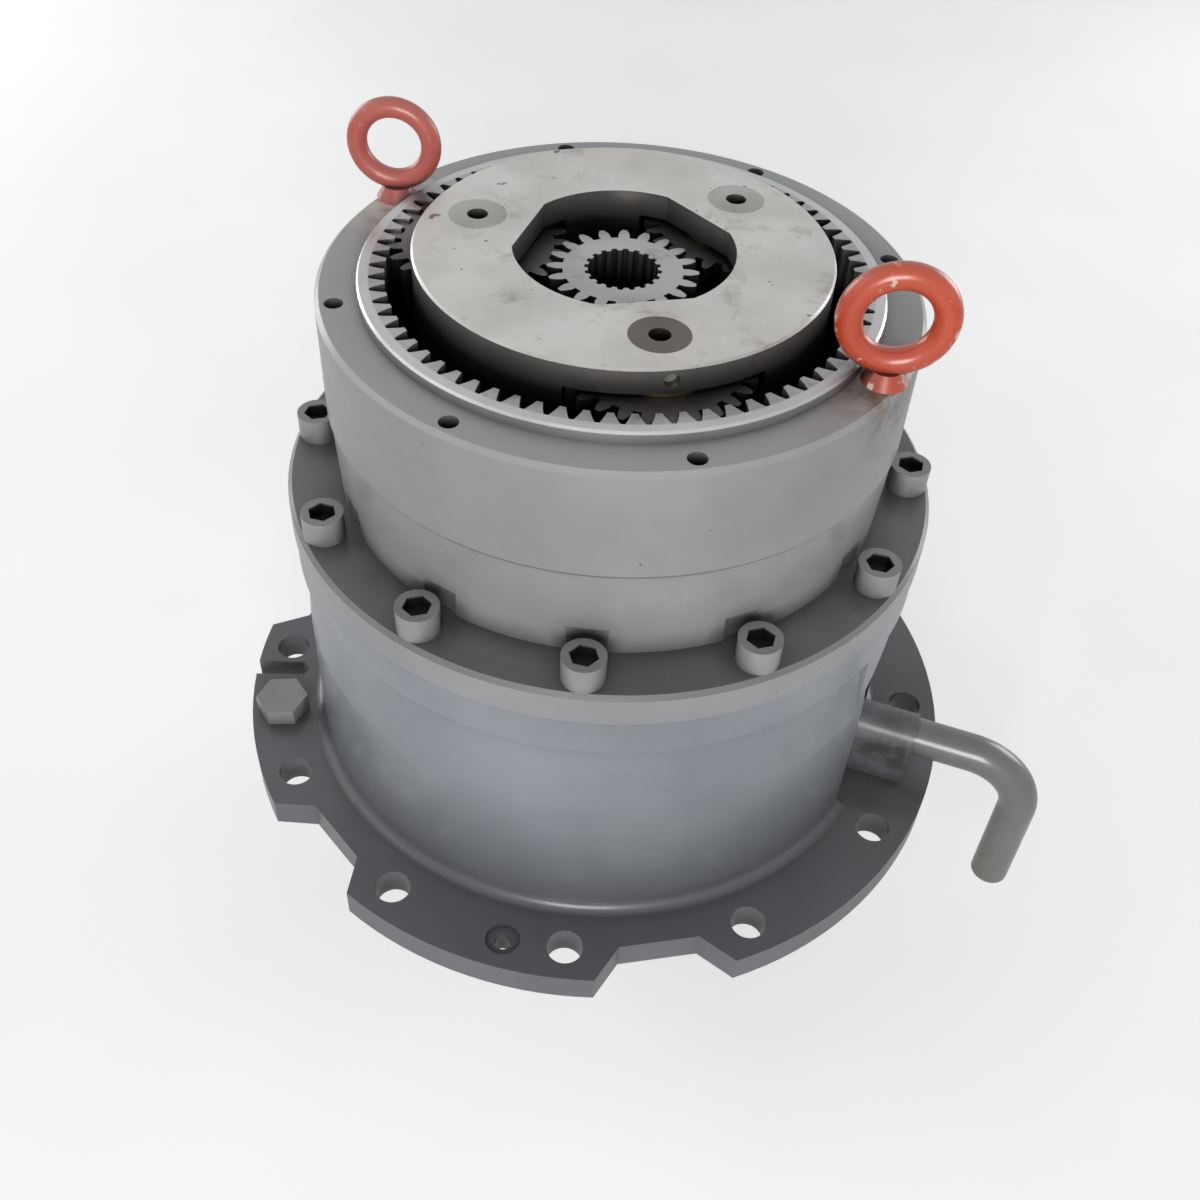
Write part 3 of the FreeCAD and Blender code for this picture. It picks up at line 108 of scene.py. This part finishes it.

# Paints: light, dark, and the tone that upward faces take, which on the grey paints is grime
# and painted shade
PAINTS = {
    "housing_finish": ((0.325, 0.325, 0.330), (0.255, 0.256, 0.262), GRIME_AND_SHADE),
    "case_paint": ((0.290, 0.305, 0.335), (0.205, 0.217, 0.240), GRIME_AND_SHADE),
    "pipe_paint": ((0.19, 0.193, 0.183), (0.125, 0.13, 0.122), GRIME_AND_SHADE),
    "screw_paint": ((0.32, 0.32, 0.325), (0.23, 0.23, 0.235), GRIME_AND_SHADE),
    "orange_paint": ((0.60, 0.082, 0.027), (0.45, 0.050, 0.018), (0.58, 0.18, 0.10)),
    "red_paint": ((0.52, 0.125, 0.095), (0.40, 0.080, 0.062), (0.55, 0.27, 0.22)),
}

# Steels and other bare surfaces: light, dark and oil
BARE = {
    "ring_teeth": ((0.46, 0.44, 0.45), (0.32, 0.305, 0.315), (0.10, 0.085, 0.08)),
    "carrier_plate": ((0.69, 0.67, 0.64), (0.56, 0.54, 0.51), (0.30, 0.26, 0.22)),
    "first_pins": ((0.48, 0.465, 0.44), (0.34, 0.325, 0.30), (0.14, 0.11, 0.09)),
    "gear_steel": ((0.30, 0.29, 0.285), (0.18, 0.17, 0.17), (0.06, 0.05, 0.04)),
    "sun_steel": ((0.76, 0.74, 0.71), (0.60, 0.585, 0.56), (0.20, 0.17, 0.14)),
    "pin_steel": ((0.52, 0.50, 0.47), (0.36, 0.34, 0.31), (0.14, 0.11, 0.09)),
    "shaft_steel": ((0.55, 0.54, 0.53), (0.36, 0.35, 0.35), (0.10, 0.09, 0.08)),
    "bearing_steel": ((0.66, 0.66, 0.66), (0.50, 0.50, 0.50), (0.20, 0.18, 0.16)),
    "bronze": ((0.45, 0.30, 0.13), (0.30, 0.19, 0.08), (0.10, 0.065, 0.035)),
    "seal_rubber": ((0.030, 0.030, 0.030), (0.018, 0.018, 0.018), (0.05, 0.05, 0.05)),
}


# Shader helpers: each adds to a node tree and returns the output to link


def new_material(name):
    """A material with its node tree and its Principled shader."""
    material = bpy.data.materials.new(name)
    material.use_nodes = True
    return material, material.node_tree, material.node_tree.nodes["Principled BSDF"]


def put(tree, socket, value):
    """Link a socket to an output, or set it to a constant."""
    if isinstance(value, bpy.types.NodeSocket):
        tree.links.new(value, socket)
    else:
        socket.default_value = value


def dress(tree, shader, **inputs):
    """Set inputs of the shader by name, such as base_color for Base Color."""
    for name, value in inputs.items():
        put(tree, shader.inputs[name.replace("_", " ").title()], value)


def object_place(tree):
    return tree.nodes.new("ShaderNodeTexCoord").outputs["Object"]


def coordinate(tree, axis):
    split = tree.nodes.new("ShaderNodeSeparateXYZ")
    tree.links.new(object_place(tree), split.inputs["Vector"])
    return split.outputs[axis]


def noise(tree, scale, detail, roughness=0.5, stretch=None):
    node = tree.nodes.new("ShaderNodeTexNoise")
    node.inputs["Scale"].default_value = scale
    node.inputs["Detail"].default_value = detail
    node.inputs["Roughness"].default_value = roughness
    place = object_place(tree)
    if stretch:
        mapping = tree.nodes.new("ShaderNodeMapping")
        tree.links.new(place, mapping.inputs["Vector"])
        mapping.inputs["Scale"].default_value = stretch
        place = mapping.outputs["Vector"]
    tree.links.new(place, node.inputs["Vector"])
    return node.outputs["Fac"]


def between(tree, value, low, high, start=0.0, stop=1.0):
    """Map a value from low..high to start..stop, held at both ends."""
    node = tree.nodes.new("ShaderNodeMapRange")
    tree.links.new(value, node.inputs["Value"])
    ends = {"From Min": low, "From Max": high, "To Min": start, "To Max": stop}
    for name, number in ends.items():
        node.inputs[name].default_value = number
    return node.outputs["Result"]


def patches(tree, scale, detail, low, high, roughness=0.5, stretch=None):
    """Noise as patches: zero up to low, one from high."""
    return between(tree, noise(tree, scale, detail, roughness, stretch), low, high)


def compute(tree, operation, first, second=0.0):
    node = tree.nodes.new("ShaderNodeMath")
    node.operation = operation
    put(tree, node.inputs[0], first)
    put(tree, node.inputs[1], second)
    return node.outputs["Value"]


def product(tree, first, second):
    return compute(tree, "MULTIPLY", first, second)


def mix(tree, factor, first, second):
    """Mix two colours."""
    node = tree.nodes.new("ShaderNodeMix")
    node.data_type = "RGBA"
    colours = [socket for socket in node.inputs if socket.type == "RGBA"]
    put(tree, node.inputs["Factor"], factor)
    for socket, colour in zip(colours, (first, second)):
        linked = isinstance(colour, bpy.types.NodeSocket)
        put(tree, socket, colour if linked else (*colour, 1.0))
    return next(socket for socket in node.outputs if socket.type == "RGBA")


def tint(tree, colour, where, share, tone):
    """Mix a share of a tone into a colour, as far as the mask goes."""
    return mix(tree, product(tree, where, share), colour, tone)


def blend_value(tree, factor, first, second):
    node = tree.nodes.new("ShaderNodeMix")
    put(tree, node.inputs["Factor"], factor)
    put(tree, node.inputs["A"], first)
    put(tree, node.inputs["B"], second)
    return node.outputs["Result"]


def bump(tree, relief, strength, distance):
    node = tree.nodes.new("ShaderNodeBump")
    tree.links.new(relief, node.inputs["Height"])
    node.inputs["Strength"].default_value = strength
    node.inputs["Distance"].default_value = distance
    return node.outputs["Normal"]


# Masks: where on the part something shows


def axis_radius(tree):
    """Distance from the gear axis."""
    flat = tree.nodes.new("ShaderNodeVectorMath")
    flat.operation = "MULTIPLY"
    tree.links.new(object_place(tree), flat.inputs[0])
    flat.inputs[1].default_value = (1.0, 1.0, 0.0)
    length = tree.nodes.new("ShaderNodeVectorMath")
    length.operation = "LENGTH"
    tree.links.new(flat.outputs["Vector"], length.inputs[0])
    return length.outputs["Value"]


def fade_with_depth(tree, top, depths):
    """One near the top, falling to zero between the second depth under it and the first."""
    deep, shallow = depths
    return between(tree, coordinate(tree, "Z"), top - deep, top - shallow)


def facing_up(tree):
    """One on faces that point up, falling to zero on upright ones."""
    geometry = tree.nodes.new("ShaderNodeNewGeometry")
    split = tree.nodes.new("ShaderNodeSeparateXYZ")
    tree.links.new(geometry.outputs["Normal"], split.inputs["Vector"])
    return between(tree, split.outputs["Z"], *UPWARD_SLOPE)


def upright(tree):
    """One on upright faces, falling to zero on those that point up."""
    return compute(tree, "SUBTRACT", 1.0, facing_up(tree))


def near(tree, point, radius, fade):
    """One inside a radius of a point, fading to zero."""
    node = tree.nodes.new("ShaderNodeVectorMath")
    node.operation = "DISTANCE"
    tree.links.new(object_place(tree), node.inputs[0])
    node.inputs[1].default_value = point
    return between(tree, node.outputs["Value"], radius, radius + fade, 1.0, 0.0)


def crevice(tree, reach):
    """One in corners, holes and gaps narrower than the reach, falling to zero in the open."""
    node = tree.nodes.new("ShaderNodeAmbientOcclusion")
    node.samples = 4
    node.inputs["Distance"].default_value = reach
    return between(tree, node.outputs["AO"], *CREVICE_SHADE, 1.0, 0.0)


def line_at(tree, value, middle, half_width):
    """One where a value is at the middle, zero beyond the half width."""
    off = compute(tree, "ABSOLUTE", compute(tree, "SUBTRACT", value, middle))
    return between(tree, off, 0.3 * half_width, half_width, 1.0, 0.0)


def near_bolt_axes(tree, circle, count, reach, fade):
    """One near the axes of evenly spaced upright bolts, the first of them on +X."""
    pitch = math.tau / count
    angle = compute(tree, "ARCTAN2", coordinate(tree, "Y"), coordinate(tree, "X"))
    angle = compute(tree, "FLOORED_MODULO", compute(tree, "ADD", angle, pitch / 2), pitch)
    radius = axis_radius(tree)
    along = product(tree, radius, compute(tree, "SUBTRACT", angle, pitch / 2))
    outward = compute(tree, "SUBTRACT", radius, circle)
    squares = compute(
        tree, "ADD", product(tree, along, along), product(tree, outward, outward)
    )
    distance = compute(tree, "SQRT", squares)
    return between(tree, distance, reach, reach + fade, 1.0, 0.0)


# Paint on castings: semi-gloss, uneven, darker on top with grime and painted shade, and with
# painted shade in corners and towards the foot


def paint_layers(tree, tones, top_tone_share, foot_shade=0.0):
    """Colour and roughness of worn paint.

    top_tone_share is how far upward faces take the third tone, which on the grey paints is
    grime and painted shade, and foot_shade how far the foot of the part darkens with painted
    shade.
    """
    light, dark, third_tone = tones
    clouds = patches(tree, 7.0, 6.0, 0.35, 0.68, 0.6)
    colour = mix(tree, clouds, light, dark)
    streaks = patches(tree, 26.0, 5.0, 0.52, 0.75, 0.6, (1.0, 1.0, 0.12))
    colour = tint(tree, colour, streaks, 0.25, dark)
    # Upward faces take the third tone in patches: on the grey paints this is grime together
    # with painted shade
    top_tone_mask = between(tree, noise(tree, 16.0, 7.0), 0.25, 0.75, 0.75, 1.0)
    top_tone_mask = product(tree, product(tree, facing_up(tree), top_tone_mask), top_tone_share)
    colour = mix(tree, top_tone_mask, colour, third_tone)
    scuffs = patches(tree, 95.0, 5.0, 0.715, 0.74, 0.7)
    colour = tint(tree, colour, scuffs, 0.5, PAINT_SCUFF)
    specks = patches(tree, 150.0, 3.0, 0.745, 0.79)
    colour = tint(tree, colour, specks, 0.6, PAINT_SPECK)
    # Painted shade: the colour grows darker towards the bottom of the part
    foot = between(tree, coordinate(tree, "Z"), *CASE_FOOT, foot_shade, 0.0)
    colour = mix(tree, foot, colour, third_tone)
    # Painted shade: corners, holes and narrow gaps darken where ambient occlusion finds them
    colour = tint(tree, colour, crevice(tree, CORNER_REACH), 0.85, CORNER_SHADE)
    gloss = between(tree, clouds, 0.0, 1.0, 0.26, 0.42)
    roughness = compute(tree, "ADD", gloss, product(tree, top_tone_mask, 0.15))
    return colour, roughness


def cast_bump(tree, strength):
    grain = product(tree, noise(tree, 420.0, 3.0, 0.6), 0.5)
    swell = noise(tree, 55.0, 3.0)
    return bump(tree, compute(tree, "ADD", grain, swell), strength, 0.0006)


def painted(name, top_tone_share, coat=0.35, cast=0.3, foot_shade=0.0, chips=0.0, stain=None):
    """A painted piece. stain is a point, its radius and fade, and a colour."""
    material, tree, shader = new_material(name)
    colour, roughness = paint_layers(tree, PAINTS[name], top_tone_share, foot_shade)
    if chips:
        bare = patches(tree, 75.0, 5.0, 0.63, 0.66, 0.6)
        colour = tint(tree, colour, bare, chips, BARE_CHIP)
    if stain:
        point, (radius, fade), tone = stain
        ragged = patches(tree, 48.0, 6.0, 0.40, 0.60, 0.62)
        ragged = product(tree, near(tree, point, radius, fade), ragged)
        colour = tint(tree, colour, ragged, 0.85, tone)
    dress(
        tree, shader, base_color=colour, roughness=roughness, normal=cast_bump(tree, cast),
        coat_weight=coat, coat_roughness=COAT_ROUGHNESS,
    )
    return material


def bolt_material():
    """Painted socket screws, their sockets near black with painted shade."""
    material, tree, shader = new_material("bolt_paint")
    colour, roughness = paint_layers(tree, PAINTS["screw_paint"], 0.35)
    deep, shallow = SOCKET_RIM
    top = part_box("joint_bolts")[1].z
    # Painted shade: inside each socket, below the head's top, the colour goes near black
    sunk = between(tree, coordinate(tree, "Z"), top - deep, top - shallow, 1.0, 0.0)
    socket = near_bolt_axes(tree, JOINT_CIRCLE, JOINT_BOLTS, SOCKET_RADIUS, SOCKET_FADE)
    dress(
        tree, shader, base_color=tint(tree, colour, sunk, socket, OIL_AND_SHADE_BLACK),
        roughness=roughness, normal=cast_bump(tree, 0.3), coat_weight=0.25,
        coat_roughness=COAT_ROUGHNESS,
    )
    return material


# Bare metal with an oil film, going black with oil and painted shade in the gear train


def bare_layers(tree, tones):
    """Colour and roughness of a machined surface with an oil film."""
    light, dark, oil = tones
    film = patches(tree, 14.0, 7.0, 0.40, 0.66, 0.62)
    colour = mix(tree, film, light, dark)
    stains = patches(tree, 42.0, 8.0, 0.56, 0.70, 0.7)
    colour = tint(tree, colour, stains, 0.55, oil)
    return colour, between(tree, film, 0.0, 1.0, 0.28, 0.5)


def oil_and_shade_dark(tree, colour, top, depths):
    """Darken a colour with painted shade in gaps, and with oil and painted shade with depth
    inside the open gear train.
    """
    colour = mix(tree, fade_with_depth(tree, top, depths), OIL_AND_SHADE_BLACK, colour)
    return tint(tree, colour, crevice(tree, GAP_REACH), 0.95, OIL_AND_SHADE_BLACK)


def steel(name, metallic=0.85, inside=False, flank_shade=0.0):
    """A bare piece. Inside the open gear train it darkens with depth and in gaps, with oil and
    painted shade, and on upright flanks with painted shade.
    """
    material, tree, shader = new_material(name)
    colour, roughness = bare_layers(tree, BARE[name])
    if flank_shade:
        # Painted shade: upright flanks darken towards black
        colour = tint(tree, colour, upright(tree), flank_shade, OIL_AND_SHADE_BLACK)
    if inside:
        # Oil and painted shade: the colour goes black with depth and in gaps
        colour = oil_and_shade_dark(tree, colour, PLATE_TOP, GEAR_DEPTHS)
    dress(
        tree, shader, base_color=colour, roughness=roughness,
        normal=bump(tree, noise(tree, 300.0, 4.0), 0.12, 0.0003), metallic=metallic,
    )
    return material


def eye_place(name):
    """Where an eye bolt stands, seen from above."""
    low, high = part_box(name)
    return (low.x + high.x) / 2, (low.y + high.y) / 2


def housing_material():
    """The ring gear housing: painted outside, bright register, teeth going black with oil and
    painted shade, worn by the eyes.
    """
    material, tree, shader = new_material("housing_finish")
    light, dark, third_tone = PAINTS["housing_finish"]
    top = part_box("ring_gear_housing")[1].z
    face = top - REGISTER_HEIGHT
    high, rough_high = paint_layers(tree, (light, dark, WORN_FACE), 0.85)
    low, rough_low = paint_layers(tree, (light, dark, third_tone), 0.92)
    deep, shallow = FLANGE_UNDER_FACE
    flange = between(tree, coordinate(tree, "Z"), face - deep, face - shallow, 1.0, 0.0)
    colour = mix(tree, flange, high, low)
    roughness = blend_value(tree, flange, rough_high, rough_low)
    line = line_at(tree, coordinate(tree, "Z"), CASTING_LINE, CASTING_LINE_HALF)
    colour = tint(tree, colour, line, 0.9, LINE_SHADE)
    front = near(tree, (*eye_place("eye_bolt_front"), face), *FRONT_EYE_STAIN)
    rear = near(tree, (*eye_place("eye_bolt_rear"), face), *REAR_EYE_STAIN)
    ragged = patches(tree, 60.0, 7.0, 0.38, 0.55, 0.65)
    colour = tint(tree, colour, front, ragged, FRONT_EYE_OIL)
    rear = product(tree, rear, facing_up(tree))
    colour = tint(tree, colour, rear, ragged, REAR_EYE_WEAR)

    teeth, rough_teeth = bare_layers(tree, BARE["ring_teeth"])
    radius = axis_radius(tree)
    edge = REGISTER_RADIUS + REGISTER_FADE
    inside = between(tree, radius, REGISTER_RADIUS, edge, 1.0, 0.0)
    under, over = REGISTER_EDGE
    raised = between(tree, coordinate(tree, "Z"), face - under, face + over)
    band = product(tree, raised, between(tree, radius, *REGISTER_BAND))
    teeth = tint(tree, teeth, band, 0.7, REGISTER_SHINE)
    # Oil and painted shade: the teeth go black with depth and in gaps
    teeth = oil_and_shade_dark(tree, teeth, top, RING_DEPTHS)
    dress(
        tree, shader, base_color=mix(tree, inside, colour, teeth),
        roughness=blend_value(tree, inside, roughness, rough_teeth),
        metallic=product(tree, inside, 0.6), normal=cast_bump(tree, 0.22),
        coat_weight=0.3, coat_roughness=0.2,
    )
    return material


def plate_material():
    """Turned top of the carrier: warm pale steel with turning rings, stains and scratches."""
    material, tree, shader = new_material("carrier_plate")
    colour, roughness = bare_layers(tree, BARE["carrier_plate"])
    rings = tree.nodes.new("ShaderNodeTexWave")
    rings.wave_type = "RINGS"
    rings.rings_direction = "Z"
    tree.links.new(object_place(tree), rings.inputs["Vector"])
    rings.inputs["Scale"].default_value = 260.0
    rings.inputs["Distortion"].default_value = 0.4
    scratches = patches(tree, 30.0, 2.0, 0.66, 0.69, stretch=(0.25, 6.0, 1.0))
    colour = tint(tree, colour, scratches, 0.35, SCRATCH)
    nicks = patches(tree, 120.0, 2.0, 0.72, 0.75)
    colour = tint(tree, colour, nicks, 0.8, NICK)
    # Painted reflection: the upright rim of the plate is dark, as a reflection of the dark gear
    # train
    colour = tint(tree, colour, upright(tree), 0.86, PLATE_FLANK_REFLECTION)
    # Oil and painted shade: the colour goes black with depth and in gaps
    colour = oil_and_shade_dark(tree, colour, PLATE_TOP, PLATE_DEPTHS)
    grain = compute(tree, "ADD", rings.outputs["Fac"], noise(tree, 240.0, 4.0))
    dress(
        tree, shader, base_color=colour, roughness=compute(tree, "ADD", roughness, 0.06),
        metallic=0.5, normal=bump(tree, grain, 0.10, 0.0002),
    )
    return material


def pin_material():
    """Planet pins: ground steel, the front one stained brown."""
    material, tree, shader = new_material("first_pins")
    colour, roughness = bare_layers(tree, BARE["first_pins"])
    front = between(tree, coordinate(tree, "Y"), *FRONT_PIN_SIDE, 1.0, 0.0)
    colour = tint(tree, colour, front, 0.85, PIN_BROWN)
    # Oil and painted shade: the colour goes black with depth and in gaps
    colour = oil_and_shade_dark(tree, colour, PLATE_TOP, PIN_DEPTHS)
    dress(
        tree, shader, base_color=colour, roughness=roughness, metallic=0.5,
        normal=bump(tree, noise(tree, 260.0, 4.0), 0.15, 0.0003),
    )
    return material


# The case darkens on top with grime and painted shade, and towards its foot with painted shade
case_paint = painted(
    "case_paint", 0.85, foot_shade=0.72, stain=(BOSS_FOOT, BOSS_STAIN, BOSS_OIL)
)
screw_paint = painted("screw_paint", 0.35)
seal_rubber = steel("seal_rubber", metallic=0.0)
bronze = steel("bronze", inside=True)
pin_steel = steel("pin_steel")
shaft_steel = steel("shaft_steel")
bearing_steel = steel("bearing_steel")
gear_steel = steel("gear_steel", inside=True, flank_shade=0.5)

FINISHES = {
    "gear_case": case_paint,
    "seal_cover": case_paint,
    "ring_gear_housing": housing_material(),
    "joint_bolts": bolt_material(),
    "flange_hex_bolt": screw_paint,
    "seal_cover_screws": screw_paint,
    "drain_pipe": painted(
        "pipe_paint", 0.25, coat=0.8, cast=0.2, stain=(PIPE_END, PIPE_STAIN, PIPE_RUST)
    ),
    "eye_bolt_front": painted("orange_paint", 0.12, coat=0.5, cast=0.25, chips=0.8),
    "eye_bolt_rear": painted("red_paint", 0.2, coat=0.05, cast=0.4, chips=0.35),
    "first_carrier": plate_material(),
    "first_planet_pins": pin_material(),
    "input_sun": steel("sun_steel", metallic=0.5, inside=True, flank_shade=0.8),
    "joint_seal_ring": seal_rubber,
    "shaft_seal": seal_rubber,
}


def finish_of(name):
    """The material of a node that the list above doesn't name."""
    if "bush" in name or "washers" in name or "thrust" in name:
        return bronze
    if "pins" in name or "dowels" in name:
        return pin_steel
    if "bearing" in name:
        return bearing_steel
    if "planet" in name or "sun" in name or name == "second_carrier":
        return gear_steel
    return shaft_steel


for name, node in nodes.items():
    node.data.materials.clear()
    node.data.materials.append(FINISHES.get(name) or finish_of(name))
    for polygon in node.data.polygons:
        polygon.use_smooth = True


# Floor, just under the part, and the light around it

FLOOR_SIZE = 8.0
FLOOR_GAP = 0.0005
FLOOR_SEEN_GLOW = 0.35
WORLD_LIGHT = 0.26
WORLD_SEEN = 0.95

part_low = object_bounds()[0]
bpy.ops.mesh.primitive_plane_add(size=FLOOR_SIZE, location=(0.0, 0.0, part_low.z - FLOOR_GAP))
floor = bpy.context.object
floor.name = "floor"
floor_finish, tree, shader = new_material("floor_finish")
seen = tree.nodes.new("ShaderNodeLightPath").outputs["Is Camera Ray"]
dress(
    tree, shader, base_color=mix(tree, patches(tree, 3.0, 3.0, 0.3, 0.7), *FLOOR_TONES),
    roughness=0.75, emission_color=FLOOR_GLOW,
    emission_strength=product(tree, seen, FLOOR_SEEN_GLOW),
)
shader.inputs["Specular IOR Level"].default_value = 0.2
floor.data.materials.append(floor_finish)

LIGHT_TARGET = Vector((0.0, 0.0, 0.2))

# Place, width and power of each light
LIGHTS = {
    "front_light": ((0.05, -2.1, 1.0), 0.9, 31.0),
    "side_light": ((-1.7, -0.2, 1.5), 1.2, 4.0),
    "back_left_light": ((-2.0, 1.5, 0.7), 1.2, 17.0),
    "back_right_light": ((2.0, 1.5, 0.7), 1.2, 17.0),
}

for name, (place, width, power) in LIGHTS.items():
    lamp = bpy.data.lights.new(name, "AREA")
    lamp.size = width
    lamp.energy = power
    holder = bpy.data.objects.new(name, lamp)
    bpy.context.collection.objects.link(holder)
    holder.location = place
    aim = LIGHT_TARGET - Vector(place)
    holder.rotation_euler = aim.to_track_quat("-Z", "Y").to_euler()

world = bpy.data.worlds.new("studio")
bpy.context.scene.world = world
world.use_nodes = True
tree = world.node_tree
backdrop = tree.nodes["Background"]
backdrop.inputs["Color"].default_value = BACKDROP
path = tree.nodes.new("ShaderNodeLightPath").outputs
shown = compute(tree, "MAXIMUM", path["Is Camera Ray"], path["Is Glossy Ray"])
shown = compute(tree, "MAXIMUM", shown, path["Is Transmission Ray"])
put(tree, backdrop.inputs["Strength"], blend_value(tree, shown, WORLD_LIGHT, WORLD_SEEN))
bpy.context.scene.view_settings.view_transform = "Standard"

# Camera: its place, its turn from +Y, its drop under level and its roll

CAMERA_PLACE = Vector((0.0254, -0.6321, 0.7254))
CAMERA_TURN = math.radians(-2.41)
CAMERA_DROP = math.radians(44.87)
CAMERA_ROLL = math.radians(3.59)
CAMERA_LENS = 39.74
CAMERA_FILM = 36.0

ahead = Vector(
    (
        math.sin(CAMERA_TURN) * math.cos(CAMERA_DROP),
        math.cos(CAMERA_TURN) * math.cos(CAMERA_DROP),
        -math.sin(CAMERA_DROP),
    )
)
level = ahead.cross(Vector((0.0, 0.0, 1.0))).normalized()
upward = level.cross(ahead)
right = math.cos(CAMERA_ROLL) * level + math.sin(CAMERA_ROLL) * upward
top = -math.sin(CAMERA_ROLL) * level + math.cos(CAMERA_ROLL) * upward

camera = bpy.data.cameras.new("camera")
camera.lens = CAMERA_LENS
camera.sensor_width = CAMERA_FILM
camera.clip_start = 0.01
holder = bpy.data.objects.new("camera", camera)
bpy.context.collection.objects.link(holder)
turn = Matrix((right, top, -ahead)).transposed().to_4x4()
holder.matrix_world = Matrix.Translation(CAMERA_PLACE) @ turn
bpy.context.scene.camera = holder
